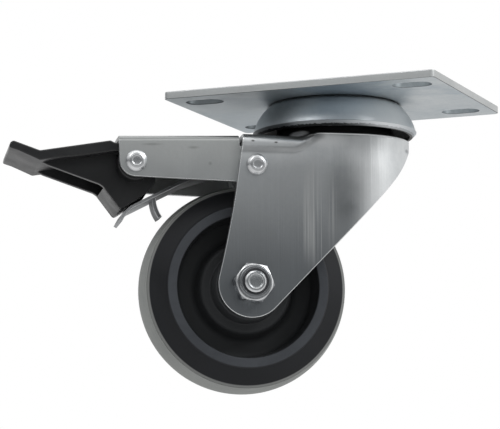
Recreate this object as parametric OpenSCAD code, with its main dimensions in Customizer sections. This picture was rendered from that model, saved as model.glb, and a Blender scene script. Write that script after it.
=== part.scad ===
// Swivel castor with a top plate, a double row of balls and a lever brake.
// Frame: the origin is the middle of the plate's top face, on the swivel axis.
// X runs along the plate, Z points up, and the castor hangs below the plate.

/* [Top plate] */
// Thickness of the plate
plate_thickness = 2.8; // [2:0.1:5]
// Radius of the plate's four corners
plate_corner_radius = 2; // [1:0.5:8]
// Distance between the slots' centres, along X
slot_spacing_length = 81; // [76:0.5:96]
// Distance between the slots' centres, along Y
slot_spacing_width = 57.2; // [50:0.2:76]
// Width of a bolt slot
slot_width = 8.7; // [6:0.1:10.5]
// Length of a bolt slot from end to end
slot_length = 14.2; // [11:0.1:16]
// Metal between the end of a slot and the plate's edge
slot_end_margin = 4.8; // [3:0.1:12]
// Metal between the side of a slot and the plate's edge
slot_side_margin = 6.75; // [4:0.05:14]

/* [Swivel head] */
// Turn of the fork on the plate in the rest position, in degrees
swivel_rest = 32; // [0:1:90]
// Thickness of the cup's sheet
cup_wall = 2.4; // [1.8:0.1:3]
// Height of the cup below the plate
cup_depth = 12.2; // [11.6:0.1:13.2]
// Widest outer radius of the cup's wall, just above its lip
cup_radius = 30.9; // [30:0.1:34]
// Radius of the curve that the cup's wall is pressed to
cup_curve_radius = 18.2; // [17:0.1:20]
// Width of the lip that is turned in at the foot of the cup
cup_lip_width = 2.8; // [2:0.1:3.4]
// Diameter of a ball in the upper row
upper_ball_diameter = 6.35; // [5.5:0.05:6.6]
// Radius of the circle on which the upper balls run
upper_ball_circle = 19; // [17.5:0.1:19.5]
// Diameter of a ball in the lower row
lower_ball_diameter = 4.76; // [4:0.02:5.2]
// Radius of the circle on which the lower balls run
lower_ball_circle = 12.5; // [11.5:0.1:13.5]
// Depth of the ball grooves
groove_depth = 0.65; // [0.4:0.05:0.8]
// Clearance between a ball and its groove
ball_clearance = 0.08; // [0.04:0.01:0.15]
// Radius of the king pin where it passes through the plate and the cup
pin_neck_radius = 5.5; // [4.5:0.1:6.5]
// Radius of the king pin's shoulder
pin_shoulder_radius = 7.5; // [7:0.1:8.2]
// Radius of the countersunk head of the king pin
pin_head_radius = 8.4; // [7.8:0.1:9.5]
// Radius of the threaded end of the king pin
pin_stud_radius = 5; // [4:0.1:5.5]
// Thickness of the lower race
lower_race_thickness = 3; // [2:0.1:4]
// Width across the flats of the king nut
king_nut_flats = 17; // [14:0.5:19]
// Height of the king nut
king_nut_height = 8; // [5:0.5:9]

/* [Fork] */
// Depth of the fork's crown below the plate's lower face
crown_depth = 13.8; // [13.2:0.1:15]
// Thickness of the fork's sheet
fork_sheet = 2.6; // [2:0.1:2.9]
// Half of the fork's width over its legs
fork_half_width = 23.5; // [23.2:0.1:25]
// Outer radius of the bend between the crown and the legs
fork_bend_radius = 3.4; // [3.2:0.1:4]
// Distance from the swivel axis to the middle of the rounded front
front_center = 4.9; // [4:0.1:7]
// Distance from the swivel axis back to the crown's rear edge
crown_reach = 38.3; // [37:0.1:40]
// Distance from the swivel axis back to the wheel's axle
trail = 35.6; // [33:0.1:37]
// Radius of the rounded end of a leg
leg_end_radius = 12.2; // [10.5:0.1:13]
// Room between the crown's underside and the tread
throat = 15.5; // [15:0.1:20]
// Hollow of the rear edge of a leg, as the radius of its curve
leg_rear_curve = 380; // [300:10:600]
// Reach of the legs' front edge at its knee, from the swivel axis
knee_reach = 10.3; // [8:0.1:13]
// Depth of that knee below the crown
knee_depth = 26.1; // [24:0.1:29]
// Radius of the rounded corner where the front meets the sloping edge
nose_radius = 3.4; // [2.5:0.1:6]
// Radius of the lower edge of the race that is pressed up from the crown
race_foot_radius = 21.9; // [21.7:0.1:22.5]

/* [Axle] */
// Diameter of the axle bolt
axle_diameter = 7.9; // [6.9:0.1:8.4]
// Width across the flats of the bolt's head and of the lock nut
axle_flats = 13; // [12:0.5:14]
// Height of the bolt's head
axle_head_height = 5.3; // [4:0.1:6]
// Height of the hexagon of the lock nut
axle_nut_height = 6.2; // [5:0.1:7]
// Height of the round collar of the lock nut
nut_collar_height = 1.9; // [1.5:0.1:2.5]
// Turn of the lock nut's corners about the axle, in degrees
nut_turn = 8; // [0:1:59]
// Outer radius of the sleeve that the wheel turns on
sleeve_radius = 6; // [5.5:0.1:6.6]

/* [Wheel] */
// Diameter of the wheel over its tread
wheel_diameter = 76.2; // [74:0.1:79]
// Rise of the tread's middle above its edges
tread_crown = 1.5; // [1.2:0.1:2.1]
// Half of the width of the tread
tread_half_width = 10.8; // [9.5:0.1:12]
// Depth of the tread's seat in the core
tread_depth = 3.6; // [2.5:0.1:5]
// Half of the width over the raised rings
ring_half_width = 16; // [14:0.1:17.5]
// Width of the sloping face between the core's rim and the raised ring
rim_face_width = 7.1; // [6:0.1:8.1]
// Width of the raised ring's flat face
ring_width = 3.5; // [2.5:0.1:4.5]
// Half of the thickness of the web
web_half_thickness = 3.5; // [2:0.1:5]
// Radius of the step around the hub
hub_step_radius = 17.5; // [15:0.1:19]
// Half of the width over the hub steps
hub_step_half_width = 10; // [7:0.1:12]
// Gap between a bush and the fork's leg
hub_side_gap = 0.6; // [0.4:0.1:1]
// Radius of the hub's ends
hub_radius = 12.5; // [11:0.1:13.5]
// Radius of the hub's bore, which the bushes are pressed into
hub_bore_radius = 8; // [7.6:0.1:9]
// Thickness of a bush's flange
bush_flange = 1.3; // [1:0.1:1.5]
// Length of a bush inside the hub
bush_length = 14; // [10:0.5:18]

/* [Brake housing] */
// Thickness of the housing's sheet
housing_sheet = 1.6; // [1.2:0.1:2]
// Outer radius of the housing's two bends
housing_bend_radius = 2.2; // [2.1:0.1:3]
// Depth of the housing's top below the crown, at its outer end
housing_top_drop = 2.5; // [2:0.1:4]
// Fall of the housing's top towards its outer end, in degrees
housing_tilt = 1.4; // [0:0.1:2]
// Height of the housing's sides at the outer end
housing_height = 14.7; // [14:0.1:16]
// Fall of the sides' lower edge towards the fork, in degrees
housing_edge_fall = 1.9; // [0:0.1:2.5]
// Length of the housing's sides that lies between the fork's legs
housing_overlap = 12.5; // [10:0.1:16]
// Radius of the sides' lower outer corners
housing_corner_radius = 6; // [3:0.1:7]
// Distance from the housing's outer end to the pedal's pin
housing_end_margin = 6.4; // [6:0.1:8]
// Distance from the swivel axis back to the housing's pin
housing_pin_reach = 33.4; // [31:0.1:35]
// Depth of the housing's pin below the crown
housing_pin_drop = 12.6; // [12:0.1:13]
// Distance from the swivel axis back to the pedal's pin
pedal_pin_reach = 77.1; // [75:0.1:82]
// Depth of the pedal's pin below the crown
pedal_pin_drop = 11.8; // [11.4:0.1:12.4]
// Diameter of both brake pins
brake_pin_diameter = 6; // [5:0.1:6.4]
// Radius of the pins' heads
pin_cap_radius = 3.95; // [3.6:0.05:4.6]
// Height of the pins' heads
pin_cap_height = 1.9; // [1.2:0.1:2.4]

/* [Brake lever and blade] */
// Gap between the pedal's foot plate and the housing's sides
pedal_side_gap = 0.4; // [0.3:0.05:1]
// Half of the width of the pedal's body below the foot plate
pedal_body_half_width = 12.7; // [11.5:0.1:15]
// Thickness of the pedal's walls
pedal_wall = 2.7; // [2:0.1:3.2]
// Radius of the bosses that the pedal turns on
pedal_boss_radius = 6.6; // [5.5:0.1:6.8]
// Thickness of the brake blade
blade_thickness = 1.2; // [0.8:0.1:1.4]
// Half of the width of the blade
blade_half_width = 10; // [7:0.1:10.5]
// Half of the width of the brake tooth
tooth_half_width = 4.5; // [3:0.1:6]
// Thickness of the brake tooth
tooth_thickness = 1.6; // [1.2:0.1:2]
// Gap between the tooth and the tread while the brake is off
tooth_gap = 2.2; // [1.9:0.1:3]
// Wall of the spacers beside the blade's eye
spacer_wall = 1.4; // [0.8:0.1:1.6]

/* [Fits] */
// Radial clearance of a turning pin or sleeve
running_clearance = 0.06; // [0.03:0.01:0.1]
// Radial clearance of a part that is clamped or pressed home
seat_clearance = 0.02; // [0.01:0.01:0.05]
// Side clearance between parts that are clamped together
side_clearance = 0.1; // [0.05:0.05:0.2]

/* [Hidden] */
$fn = 96;
far = 200;
fork_metal = [0.62, 0.65, 0.67];
bright_metal = [0.74, 0.76, 0.78];
black_plastic = [0.12, 0.12, 0.13];
grey_rubber = [0.55, 0.56, 0.55];

// Levels of the swivel head, from the plate down
plate_bottom = -plate_thickness;
cup_floor = plate_bottom - cup_wall;
cup_foot = plate_bottom - cup_depth;
upper_ball_radius = upper_ball_diameter / 2;
lower_ball_radius = lower_ball_diameter / 2;
upper_ball_level = cup_floor - upper_ball_radius + groove_depth;
race_top = upper_ball_level - upper_ball_radius + groove_depth;
race_underside = race_top - fork_sheet;
lower_ball_level = race_underside - lower_ball_radius + groove_depth;
lower_race_top = lower_ball_level - lower_ball_radius + groove_depth;
lower_race_bottom = lower_race_top - lower_race_thickness;
king_nut_bottom = lower_race_bottom - king_nut_height;
crown_level = plate_bottom - crown_depth;
pin_end_gap = 0.15;
pin_end_reach = 1.8;
pin_chamfer = 0.8;
crown_hole_radius = pin_shoulder_radius + 1.5;
lower_race_radius = lower_ball_circle + lower_ball_radius + 0.6;
race_rim = 2.6;
race_radius = upper_ball_circle + race_rim;
cup_lip_bevel = 1.8;
cup_lip_height = 1.3;

// Top plate
plate_length = slot_spacing_length + slot_length + 2 * slot_end_margin;
plate_width = slot_spacing_width + slot_width + 2 * slot_side_margin;

// Places on the fork, measured from the crown's top face
wheel_radius = wheel_diameter / 2;
leg_inner = fork_half_width - fork_sheet;
axle_point = [-trail, -(fork_sheet + throat + wheel_radius)];
knee_point = [knee_reach, -knee_depth];
nose_point = [front_center + fork_half_width - nose_radius, -nose_radius / 2];
pedal_pin_point = [-pedal_pin_reach, -pedal_pin_drop];
housing_pin_point = [-housing_pin_reach, -housing_pin_drop];
brake_pin_radius = brake_pin_diameter / 2;
axle_radius = axle_diameter / 2;
sleeve_half_length = leg_inner - side_clearance / 2;
bolt_end_reach = 1;
bolt_end_recess = 0.5;
bolt_end_rim = 1.6;

// Housing
housing_half_width = leg_inner - seat_clearance;
housing_inner = housing_half_width - housing_sheet;
housing_start = -(pedal_pin_reach + housing_end_margin);
housing_web_length = -housing_start - crown_reach - 1.2;
housing_length = housing_web_length + 1.2 + housing_overlap;
housing_notch = fork_sheet + 1.8;

// Corners of the pedal's foot plate and of its walls, from the pedal's pin
foot_plate_top = [[-45.6, 4.3], [-45.3, 6.1], [-44.2, 6.9], [-34.6, 3.5], [-9.1, 7.7], [-7.6, 6.9], [-3, 6.2]];
foot_plate_bottom = [[-3, 3.4], [-8, 3.7], [-20.8, 1.7], [-28.1, 0.9], [-34.6, -0.1], [-42.4, 3.3]];
pedal_walls = [
    [-34.3, 1.6], [-34.3, 0.6], [-31.2, -0.9], [-12.5, -7.4], [-11.1, -8.4], [-5.3, -16],
    [-4.6, -16.3], [-3.7, -15.9], [2.3, -12], [6, -9.3], [8, -6.2], [6.4, 0], [0, 5], [-8, 6]
];
cam_wall = [[-11.1, -8.4], [-5.3, -16], [-4.6, -16.3], [-3.7, -15.9], [-0.9, -14], [-3.4, -12.6], [-9, -6.4]];
pedal_half_width = housing_inner - pedal_side_gap;
pedal_boss_outer = housing_inner - pedal_side_gap;

// Bends of the brake blade, from the pedal's pin; it starts at the eye on the housing's pin
blade_bends = [[19.6, -4.9], [-0.9, -15.4], [-2.9, -17.4], [-4.4, -20.2]];
eye_mid_radius = brake_pin_radius + running_clearance + blade_thickness / 2;
eye_outer_radius = eye_mid_radius + blade_thickness / 2;
tooth_curve_center = [20.9, -10.8];
tooth_curve_radius = 12.6;

// Wheel
hub_half_length = leg_inner - hub_side_gap - bush_flange;
rim_radius = wheel_radius - tread_crown;
tread_seat_radius = rim_radius - tread_depth;
ring_outer_radius = rim_radius - rim_face_width;
crown_curve_radius = (pow(tread_half_width, 2) + pow(wheel_radius - rim_radius, 2))
    / (2 * (wheel_radius - rim_radius));

// Point on a circle at an angle
function on_circle(center, radius, angle) = center + radius * [cos(angle), sin(angle)];

// Angle from a point towards another
function bearing(from, to) = atan2(to[1] - from[1], to[0] - from[0]);

// Angle at which a line from a point touches a circle, on the left (+1) or right (-1) of the line
function touch_angle(center, radius, from, side) =
    bearing(center, from) + side * acos(radius / norm(from - center));

// Point where that line touches the circle
function touch_point(center, radius, from, side) =
    on_circle(center, radius, touch_angle(center, radius, from, side));

// Places the fork's own frame: its top is the crown's top face, turned to the rest position
module on_fork() {
    translate([0, 0, crown_level])
        rotate([0, 0, swivel_rest])
            children();
}

// Stands an outline drawn in X and Z upright and gives it a width along Y
module across(width) {
    rotate([90, 0, 0])
        linear_extrude(width, center = true)
            children();
}

// A round bar along Y through a point of the fork's side view
module cross_bar(point, radius, width) {
    translate([point[0], 0, point[1]])
        rotate([90, 0, 0])
            cylinder(r = radius, h = width, center = true);
}

// Turns a profile about the wheel's axle: its X is the radius and its Y the distance along the axle
module about_axle() {
    on_fork()
        translate([axle_point[0], 0, axle_point[1]])
            rotate([90, 0, 0])
                rotate_extrude()
                    children();
}

// Copies children to both sides of the fork
module both_sides() {
    children();
    mirror([0, 1, 0])
        children();
}

// Ring-shaped groove for a row of balls
module ball_groove(circle_radius, ball_radius, level) {
    rotate_extrude()
        translate([circle_radius, level])
            circle(r = ball_radius + ball_clearance);
}

// Row of balls on a circle, as many as fit
module ball_row(circle_radius, ball_diameter, level) {
    count = floor(180 / asin(ball_diameter / 2 / circle_radius));
    for (i = [0 : count - 1])
        rotate([0, 0, i * 360 / count])
            translate([circle_radius, 0, level])
                sphere(d = ball_diameter);
}

// Outline of a slot along X
module slot_outline() {
    straight = (slot_length - slot_width) / 2;
    square([2 * straight, slot_width], center = true);
    for (x = [-straight, straight])
        translate([x, 0])
            circle(d = slot_width);
}

// Outline of the plate with rounded corners
module plate_outline() {
    inner = [plate_length - 2 * plate_corner_radius, plate_width - 2 * plate_corner_radius];
    square([plate_length, inner[1]], center = true);
    square([inner[0], plate_width], center = true);
    for (x = [-inner[0], inner[0]] / 2, y = [-inner[1], inner[1]] / 2)
        translate([x, y])
            circle(r = plate_corner_radius);
}

// Hexagonal bar, by its width across the flats
module hexagon(flats, height) {
    cylinder(d = flats / cos(30), h = height, $fn = 6);
}

// Flat plate with four bolt slots and a countersunk hole for the king pin
module top_plate() {
    color(bright_metal)
        difference() {
            translate([0, 0, plate_bottom])
                linear_extrude(plate_thickness)
                    plate_outline();
            for (x = [-1, 1] * slot_spacing_length / 2, y = [-1, 1] * slot_spacing_width / 2)
                translate([x, y, -far / 2])
                    linear_extrude(far)
                        slot_outline();
            rotate_extrude()
                polygon([
                    [0, 1], [pin_head_radius + seat_clearance, 1],
                    [pin_head_radius + seat_clearance, -pin_end_gap],
                    [pin_neck_radius + seat_clearance, plate_bottom + pin_chamfer],
                    [pin_neck_radius + seat_clearance, plate_bottom - 1], [0, plate_bottom - 1]
                ]);
        }
}

// Pressed cup under the plate: its floor holds the upper balls and its wall covers them
module swivel_cup() {
    curve = [cup_radius - cup_curve_radius, cup_foot - 2.2];
    lip_inner = cup_radius - cup_lip_width;
    color(bright_metal)
        difference() {
            rotate_extrude()
                difference() {
                    intersection() {
                        translate(curve)
                            circle(r = cup_curve_radius);
                        polygon([
                            [0, plate_bottom], [far, plate_bottom], [far, cup_foot + cup_lip_bevel],
                            [cup_radius, cup_foot + cup_lip_bevel], [cup_radius - cup_lip_bevel, cup_foot],
                            [0, cup_foot]
                        ]);
                    }
                    intersection() {
                        translate(curve)
                            circle(r = cup_curve_radius - cup_wall);
                        translate([0, cup_foot + cup_lip_height])
                            square([far, cup_floor - cup_foot - cup_lip_height]);
                    }
                    translate([0, cup_foot - cup_lip_height])
                        square([lip_inner, 2.1 * cup_lip_height]);
                    translate([0, cup_foot - 1])
                        square([pin_neck_radius + seat_clearance, far]);
                }
            ball_groove(upper_ball_circle, upper_ball_radius, upper_ball_level);
        }
}

// Shouldered pin that is riveted over in the plate and holds the whole head together
module king_pin() {
    end = king_nut_bottom - pin_end_reach;
    color(bright_metal)
        rotate_extrude()
            polygon([
                [0, -pin_end_gap], [pin_head_radius, -pin_end_gap], [pin_neck_radius, plate_bottom + pin_chamfer],
                [pin_neck_radius, cup_floor], [pin_shoulder_radius, cup_floor],
                [pin_shoulder_radius, lower_race_top], [pin_stud_radius, lower_race_top],
                [pin_stud_radius, end + pin_chamfer], [pin_stud_radius - pin_chamfer, end], [0, end]
            ]);
}

// Ring that carries the lower balls and is clamped by the king nut
module lower_race() {
    color(bright_metal)
        difference() {
            translate([0, 0, lower_race_bottom])
                difference() {
                    cylinder(r = lower_race_radius, h = lower_race_thickness);
                    translate([0, 0, -1])
                        cylinder(r = pin_stud_radius + seat_clearance, h = far);
                }
            ball_groove(lower_ball_circle, lower_ball_radius, lower_ball_level);
        }
}

// Hexagonal nut on the king pin
module king_nut() {
    color(bright_metal)
        translate([0, 0, king_nut_bottom])
            difference() {
                hexagon(king_nut_flats, king_nut_height);
                translate([0, 0, -1])
                    cylinder(r = pin_stud_radius + seat_clearance, h = far);
            }
}

// Upper row of balls, between the cup and the crown
module upper_balls() {
    color(bright_metal)
        ball_row(upper_ball_circle, upper_ball_diameter, upper_ball_level);
}

// Lower row of balls, between the crown and the lower race
module lower_balls() {
    color(bright_metal)
        ball_row(lower_ball_circle, lower_ball_diameter, lower_ball_level);
}

// Section across the fork: two legs and a crown, with rounded upper corners
module fork_section(half_width, top, bend) {
    translate([-half_width, -far])
        square([2 * half_width, far + top - bend]);
    translate([bend - half_width, -far])
        square([2 * (half_width - bend), far + top]);
    for (x = [-1, 1] * (half_width - bend))
        translate([x, top - bend])
            circle(r = bend);
}

// Block with the fork's rounded front, from which the folded sheet is made
module fork_block(half_width, top, bend) {
    translate([-far / 2, 0, 0])
        rotate([90, 0, 90])
            linear_extrude(far / 2 + front_center)
                fork_section(half_width, top, bend);
    translate([front_center, 0, 0])
        rotate_extrude()
            intersection() {
                fork_section(half_width, top, bend);
                translate([0, -far])
                    square([far, 2 * far]);
            }
}

// Side view of a leg: rounded end about the axle, sloping front edge and slightly hollow rear edge
module leg_outline() {
    rear_top = [-crown_reach, 1];
    rear_touch = touch_point(axle_point, leg_end_radius, rear_top, 1);
    rear_foot = rear_touch + (rear_top - rear_touch) * 0.015;
    front_touch = touch_point(axle_point, leg_end_radius, knee_point, -1);
    nose_touch = touch_point(nose_point, nose_radius, knee_point, 1);
    chord = rear_top - rear_touch;
    sag = pow(norm(chord) / 2, 2) / (2 * leg_rear_curve);
    outward = [-chord[1], chord[0]] / norm(chord);
    difference() {
        union() {
            translate(axle_point)
                circle(r = leg_end_radius);
            translate(nose_point)
                circle(r = nose_radius);
            polygon([
                rear_top, rear_foot, axle_point, front_touch, knee_point, nose_touch, nose_point,
                nose_point + [nose_radius, 0], nose_point + [nose_radius, far], [-crown_reach, far]
            ]);
        }
        translate((rear_top + rear_touch) / 2 + outward * (leg_rear_curve - sag))
            circle(r = leg_rear_curve, $fn = 720);
    }
}

// Fork pressed from one sheet: crown with a raised race, legs and a rounded front
module fork() {
    boss = race_top - crown_level;
    color(fork_metal)
        difference() {
            on_fork()
                difference() {
                    union() {
                        intersection() {
                            difference() {
                                fork_block(fork_half_width, 0, fork_bend_radius);
                                fork_block(leg_inner, -fork_sheet, fork_bend_radius - fork_sheet);
                            }
                            across(4 * fork_half_width)
                                leg_outline();
                        }
                        translate([0, 0, -fork_sheet / 2])
                            cylinder(r1 = race_foot_radius, r2 = race_radius, h = boss + fork_sheet / 2);
                    }
                    translate([0, 0, -far])
                        cylinder(r = race_foot_radius - fork_sheet, h = far + boss - fork_sheet);
                    cylinder(r = crown_hole_radius, h = far, center = true);
                    cross_bar(axle_point, axle_radius + running_clearance, far);
                    cross_bar(housing_pin_point, brake_pin_radius + seat_clearance, far);
                }
            ball_groove(upper_ball_circle, upper_ball_radius, upper_ball_level);
            ball_groove(lower_ball_circle, lower_ball_radius, lower_ball_level);
        }
}

// Outline of the housing's side, from its upper outer corner
module housing_side() {
    fall = tan(housing_edge_fall + housing_tilt);
    lower_end = -housing_height - fall * housing_length;
    corner = [housing_corner_radius, -housing_height + housing_corner_radius];
    intersection() {
        union() {
            translate(corner)
                circle(r = housing_corner_radius);
            polygon([
                [0, 0], [0, corner[1]], corner, [corner[0], -housing_height - fall * corner[0]],
                [housing_length, lower_end], [housing_length, -housing_notch],
                [housing_web_length, -housing_notch], [housing_web_length, 0]
            ]);
        }
        square([2 * far, 2 * far], center = true);
    }
}

// Channel that is folded from sheet, with its sides inside the fork's legs
module brake_housing() {
    color(fork_metal)
        on_fork()
            difference() {
                translate([housing_start, 0, -housing_top_drop])
                    rotate([0, -housing_tilt, 0])
                        intersection() {
                            across(4 * fork_half_width)
                                housing_side();
                            translate([-1, 0, 0])
                                rotate([90, 0, 90])
                                    linear_extrude(far)
                                        difference() {
                                            fork_section(housing_half_width, 0, housing_bend_radius);
                                            fork_section(
                                                housing_inner, -housing_sheet,
                                                housing_bend_radius - housing_sheet
                                            );
                                        }
                        }
                cross_bar(pedal_pin_point, brake_pin_radius + seat_clearance, far);
                cross_bar(housing_pin_point, brake_pin_radius + seat_clearance, far);
            }
}

// Domed head of a brake pin, from its flat face outwards
module pin_cap() {
    dome = (pow(pin_cap_radius, 2) + pow(pin_cap_height, 2)) / (2 * pin_cap_height);
    rotate_extrude()
        difference() {
            intersection() {
                translate([0, pin_cap_height - dome])
                    circle(r = dome);
                square([far, far]);
            }
            translate([0, pin_cap_height + 1.1])
                circle(r = 1.6);
        }
}

// Pin with a domed head at each end, both heads against a face at this distance
module headed_pin(point, face) {
    cross_bar(point, brake_pin_radius, 2 * face);
    both_sides()
        translate([point[0], -face, point[1]])
            rotate([90, 0, 0])
                pin_cap();
}

// Pin through the fork's legs and the housing, which the blade hangs on
module housing_pin() {
    color(bright_metal)
        on_fork()
            headed_pin(housing_pin_point, fork_half_width);
}

// Pin through the housing that the pedal turns on
module pedal_pin() {
    color(bright_metal)
        on_fork()
            headed_pin(pedal_pin_point, housing_half_width);
}

// Two sleeves on the housing's pin that keep the blade in the middle
module pin_spacers() {
    inner = brake_pin_radius + seat_clearance;
    length = housing_inner - blade_half_width - 3 * side_clearance;
    color(bright_metal)
        on_fork()
            both_sides()
                translate([housing_pin_point[0], -blade_half_width - 2 * side_clearance, housing_pin_point[1]])
                    rotate([90, 0, 0])
                        difference() {
                            cylinder(r = inner + spacer_wall, h = length);
                            translate([0, 0, -1])
                                cylinder(r = inner, h = far);
                        }
}

// Axle bolt: its head is on the far side and its end stands out of the lock nut
module axle_bolt() {
    end = fork_half_width + axle_nut_height + nut_collar_height + bolt_end_reach;
    start = -fork_half_width - axle_head_height / 2;
    color(bright_metal)
        on_fork()
            translate([axle_point[0], 0, axle_point[1]])
                rotate([90, 0, 0]) {
                    difference() {
                        rotate_extrude()
                            polygon([
                                [0, start], [axle_radius, start],
                                [axle_radius, end - pin_chamfer], [axle_radius - pin_chamfer, end], [0, end]
                            ]);
                        translate([0, 0, end - bolt_end_recess])
                            cylinder(r = axle_radius - bolt_end_rim, h = far);
                    }
                    translate([0, 0, -fork_half_width - axle_head_height])
                        hexagon(axle_flats, axle_head_height);
                }
}

// Steel body of the lock nut: hexagon, round collar and a groove for the insert
module axle_nut() {
    collar_radius = axle_flats / 2 - 0.6;
    color(bright_metal)
        on_fork()
            translate([axle_point[0], -fork_half_width, axle_point[1]])
                rotate([90, nut_turn, 0])
                    difference() {
                        union() {
                            intersection() {
                                hexagon(axle_flats, axle_nut_height);
                                cylinder(
                                    r1 = axle_flats / 2 + axle_nut_height + 0.3,
                                    r2 = axle_flats / 2 + 0.3, h = axle_nut_height
                                );
                            }
                            cylinder(r = collar_radius, h = axle_nut_height + nut_collar_height);
                        }
                        translate([0, 0, -1])
                            cylinder(r = axle_radius + seat_clearance, h = far);
                        translate([0, 0, axle_nut_height])
                            cylinder(r = collar_radius - 0.7, h = far);
                    }
}

// Nylon ring inside the lock nut's collar
module nut_insert() {
    outer = axle_flats / 2 - 1.3 - seat_clearance;
    color("gainsboro")
        on_fork()
            translate([axle_point[0], -fork_half_width - axle_nut_height, axle_point[1]])
                rotate([90, 0, 0])
                    difference() {
                        cylinder(r = outer, h = nut_collar_height - 0.2);
                        translate([0, 0, -1])
                            cylinder(r = axle_radius + seat_clearance, h = far);
                    }
}

// Sleeve that the bolt clamps between the legs
module axle_sleeve() {
    color(bright_metal)
        about_axle()
            translate([axle_radius + running_clearance, -sleeve_half_length])
                square([sleeve_radius - axle_radius - running_clearance, 2 * sleeve_half_length]);
}

// Region of the wheel's section that the tread fills
module tread_seat() {
    foot = tread_half_width * 0.8;
    polygon([
        [tread_seat_radius, -foot], [rim_radius, -tread_half_width], [far, -tread_half_width],
        [far, tread_half_width], [rim_radius, tread_half_width], [tread_seat_radius, foot]
    ]);
}

// Corners of the core's section on one side, from the bore out to the rim
function core_side(side) =
    let (dish_foot = ring_outer_radius - ring_width - 1)
    [for (corner = [
        [hub_bore_radius, hub_half_length], [hub_radius, hub_half_length],
        [hub_radius + 0.5, hub_step_half_width], [hub_step_radius, hub_step_half_width],
        [hub_step_radius + 0.4, web_half_thickness], [dish_foot, web_half_thickness],
        [ring_outer_radius - ring_width, ring_half_width], [ring_outer_radius, ring_half_width],
        [ring_outer_radius + 0.3, ring_half_width - 0.7], [rim_radius, tread_half_width]
    ]) [corner[0], side * corner[1]]];

// The same list of points from its end to its start
function reversed(points) = [for (i = [len(points) - 1 : -1 : 0]) points[i]];

// Moulded core: hub, dished web, raised rings and the rim that holds the tread
module wheel_core() {
    color(black_plastic)
        about_axle()
            difference() {
                polygon(concat(core_side(1), reversed(core_side(-1))));
                tread_seat();
            }
}

// Grey tread, moulded on the core and slightly crowned
module wheel_tread() {
    color(grey_rubber)
        about_axle()
            intersection() {
                tread_seat();
                translate([wheel_radius - crown_curve_radius, 0])
                    circle(r = crown_curve_radius, $fn = 180);
            }
}

// Two flanged bushes pressed into the hub
module hub_bushes() {
    inner = sleeve_radius + running_clearance;
    color("ivory")
        for (side = [0, 1])
            about_axle()
                mirror([0, side])
                    polygon([
                        [inner, hub_half_length - bush_length],
                        [hub_bore_radius - seat_clearance, hub_half_length - bush_length],
                        [hub_bore_radius - seat_clearance, hub_half_length],
                        [hub_bore_radius + 2, hub_half_length],
                        [hub_bore_radius + 2, hub_half_length + bush_flange],
                        [inner, hub_half_length + bush_flange]
                    ]);
}

// Moulded pedal: foot plate, two walls, a cam at their foot and two bosses
module brake_pedal() {
    color(black_plastic)
        on_fork()
            translate([pedal_pin_point[0], 0, pedal_pin_point[1]])
                difference() {
                    union() {
                        across(2 * pedal_half_width)
                            polygon(concat(foot_plate_top, foot_plate_bottom));
                        both_sides()
                            translate([0, -pedal_body_half_width + pedal_wall / 2, 0])
                                across(pedal_wall)
                                    polygon(pedal_walls);
                        across(2 * pedal_body_half_width)
                            polygon(cam_wall);
                        both_sides()
                            translate([0, pedal_wall - pedal_body_half_width, 0])
                                rotate([90, 0, 0])
                                    cylinder(
                                        r = pedal_boss_radius,
                                        h = pedal_boss_outer - pedal_body_half_width + pedal_wall
                                    );
                    }
                    cross_bar([0, 0], brake_pin_radius + running_clearance, far);
                }
}

// Unit vector across the step from one point to the next, to its left
function across_step(from, to) = [from[1] - to[1], to[0] - from[0]] / norm(to - from);

// A chain's points moved sideways, with sharp corners where it bends
function moved_aside(points, distance) =
    let (last = len(points) - 1)
    [for (i = [0 : last])
        let (
            before = across_step(points[max(i, 1) - 1], points[max(i, 1)]),
            after = across_step(points[min(i, last - 1)], points[min(i, last - 1) + 1])
        )
        points[i] + distance * (before + after) / (1 + before * after)];

// Strip of sheet along a chain of points, drawn as an outline
module strip_outline(points, thickness) {
    polygon(concat(
        moved_aside(points, thickness / 2),
        reversed(moved_aside(points, -thickness / 2))
    ));
}

// Spring-steel blade: an eye on the housing's pin, a bent strip under the cam and a tooth for the tread
module brake_blade() {
    bends = [for (bend = blade_bends) bend + pedal_pin_point];
    start = touch_point(housing_pin_point, eye_mid_radius - 0.05, bends[0], -1);
    curve = tooth_curve_center + pedal_pin_point;
    color(bright_metal)
        on_fork() {
            across(2 * blade_half_width)
                difference() {
                    union() {
                        strip_outline(concat([start], bends), blade_thickness);
                        translate(housing_pin_point)
                            circle(r = eye_outer_radius);
                    }
                    translate(housing_pin_point)
                        circle(r = brake_pin_radius + running_clearance);
                }
            across(2 * tooth_half_width)
                difference() {
                    translate(curve)
                        difference() {
                            circle(r = tooth_curve_radius + tooth_thickness / 2);
                            circle(r = tooth_curve_radius - tooth_thickness / 2);
                            translate([-far, 0.2])
                                square(2 * far);
                            polygon([[0, 0], [0, -far], [far, -far], [far, far]]);
                            polygon([[0, 0], on_circle([0, 0], far, 230), [far, -far]]);
                        }
                    translate(axle_point)
                        circle(r = wheel_radius + tooth_gap, $fn = 180);
                }
        }
}

top_plate();
swivel_cup();
king_pin();
lower_race();
king_nut();
upper_balls();
lower_balls();
fork();
brake_housing();
housing_pin();
pin_spacers();
pedal_pin();
axle_bolt();
axle_nut();
nut_insert();
axle_sleeve();
wheel_core();
wheel_tread();
hub_bushes();
brake_pedal();
brake_blade();
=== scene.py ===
# %% [markdown]
# # A swivel castor with a brake
# A castor is a small machine: a plate that is bolted under a trolley, a ball head that lets the
# fork swivel, a wheel between the fork's legs and a pedal that pushes a sprung blade on the tread.
# The CAD model is the frame of this scene. It gives every piece its place and its joint.
# Here each visible piece gets the shape and finish that the workshop gave it: rounded sheet edges,
# draw marks, zinc, rubber and moulded plastic.

# %% Load the frame
import math

import bmesh
import bpy
from mathutils import Matrix, Vector, noise


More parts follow.
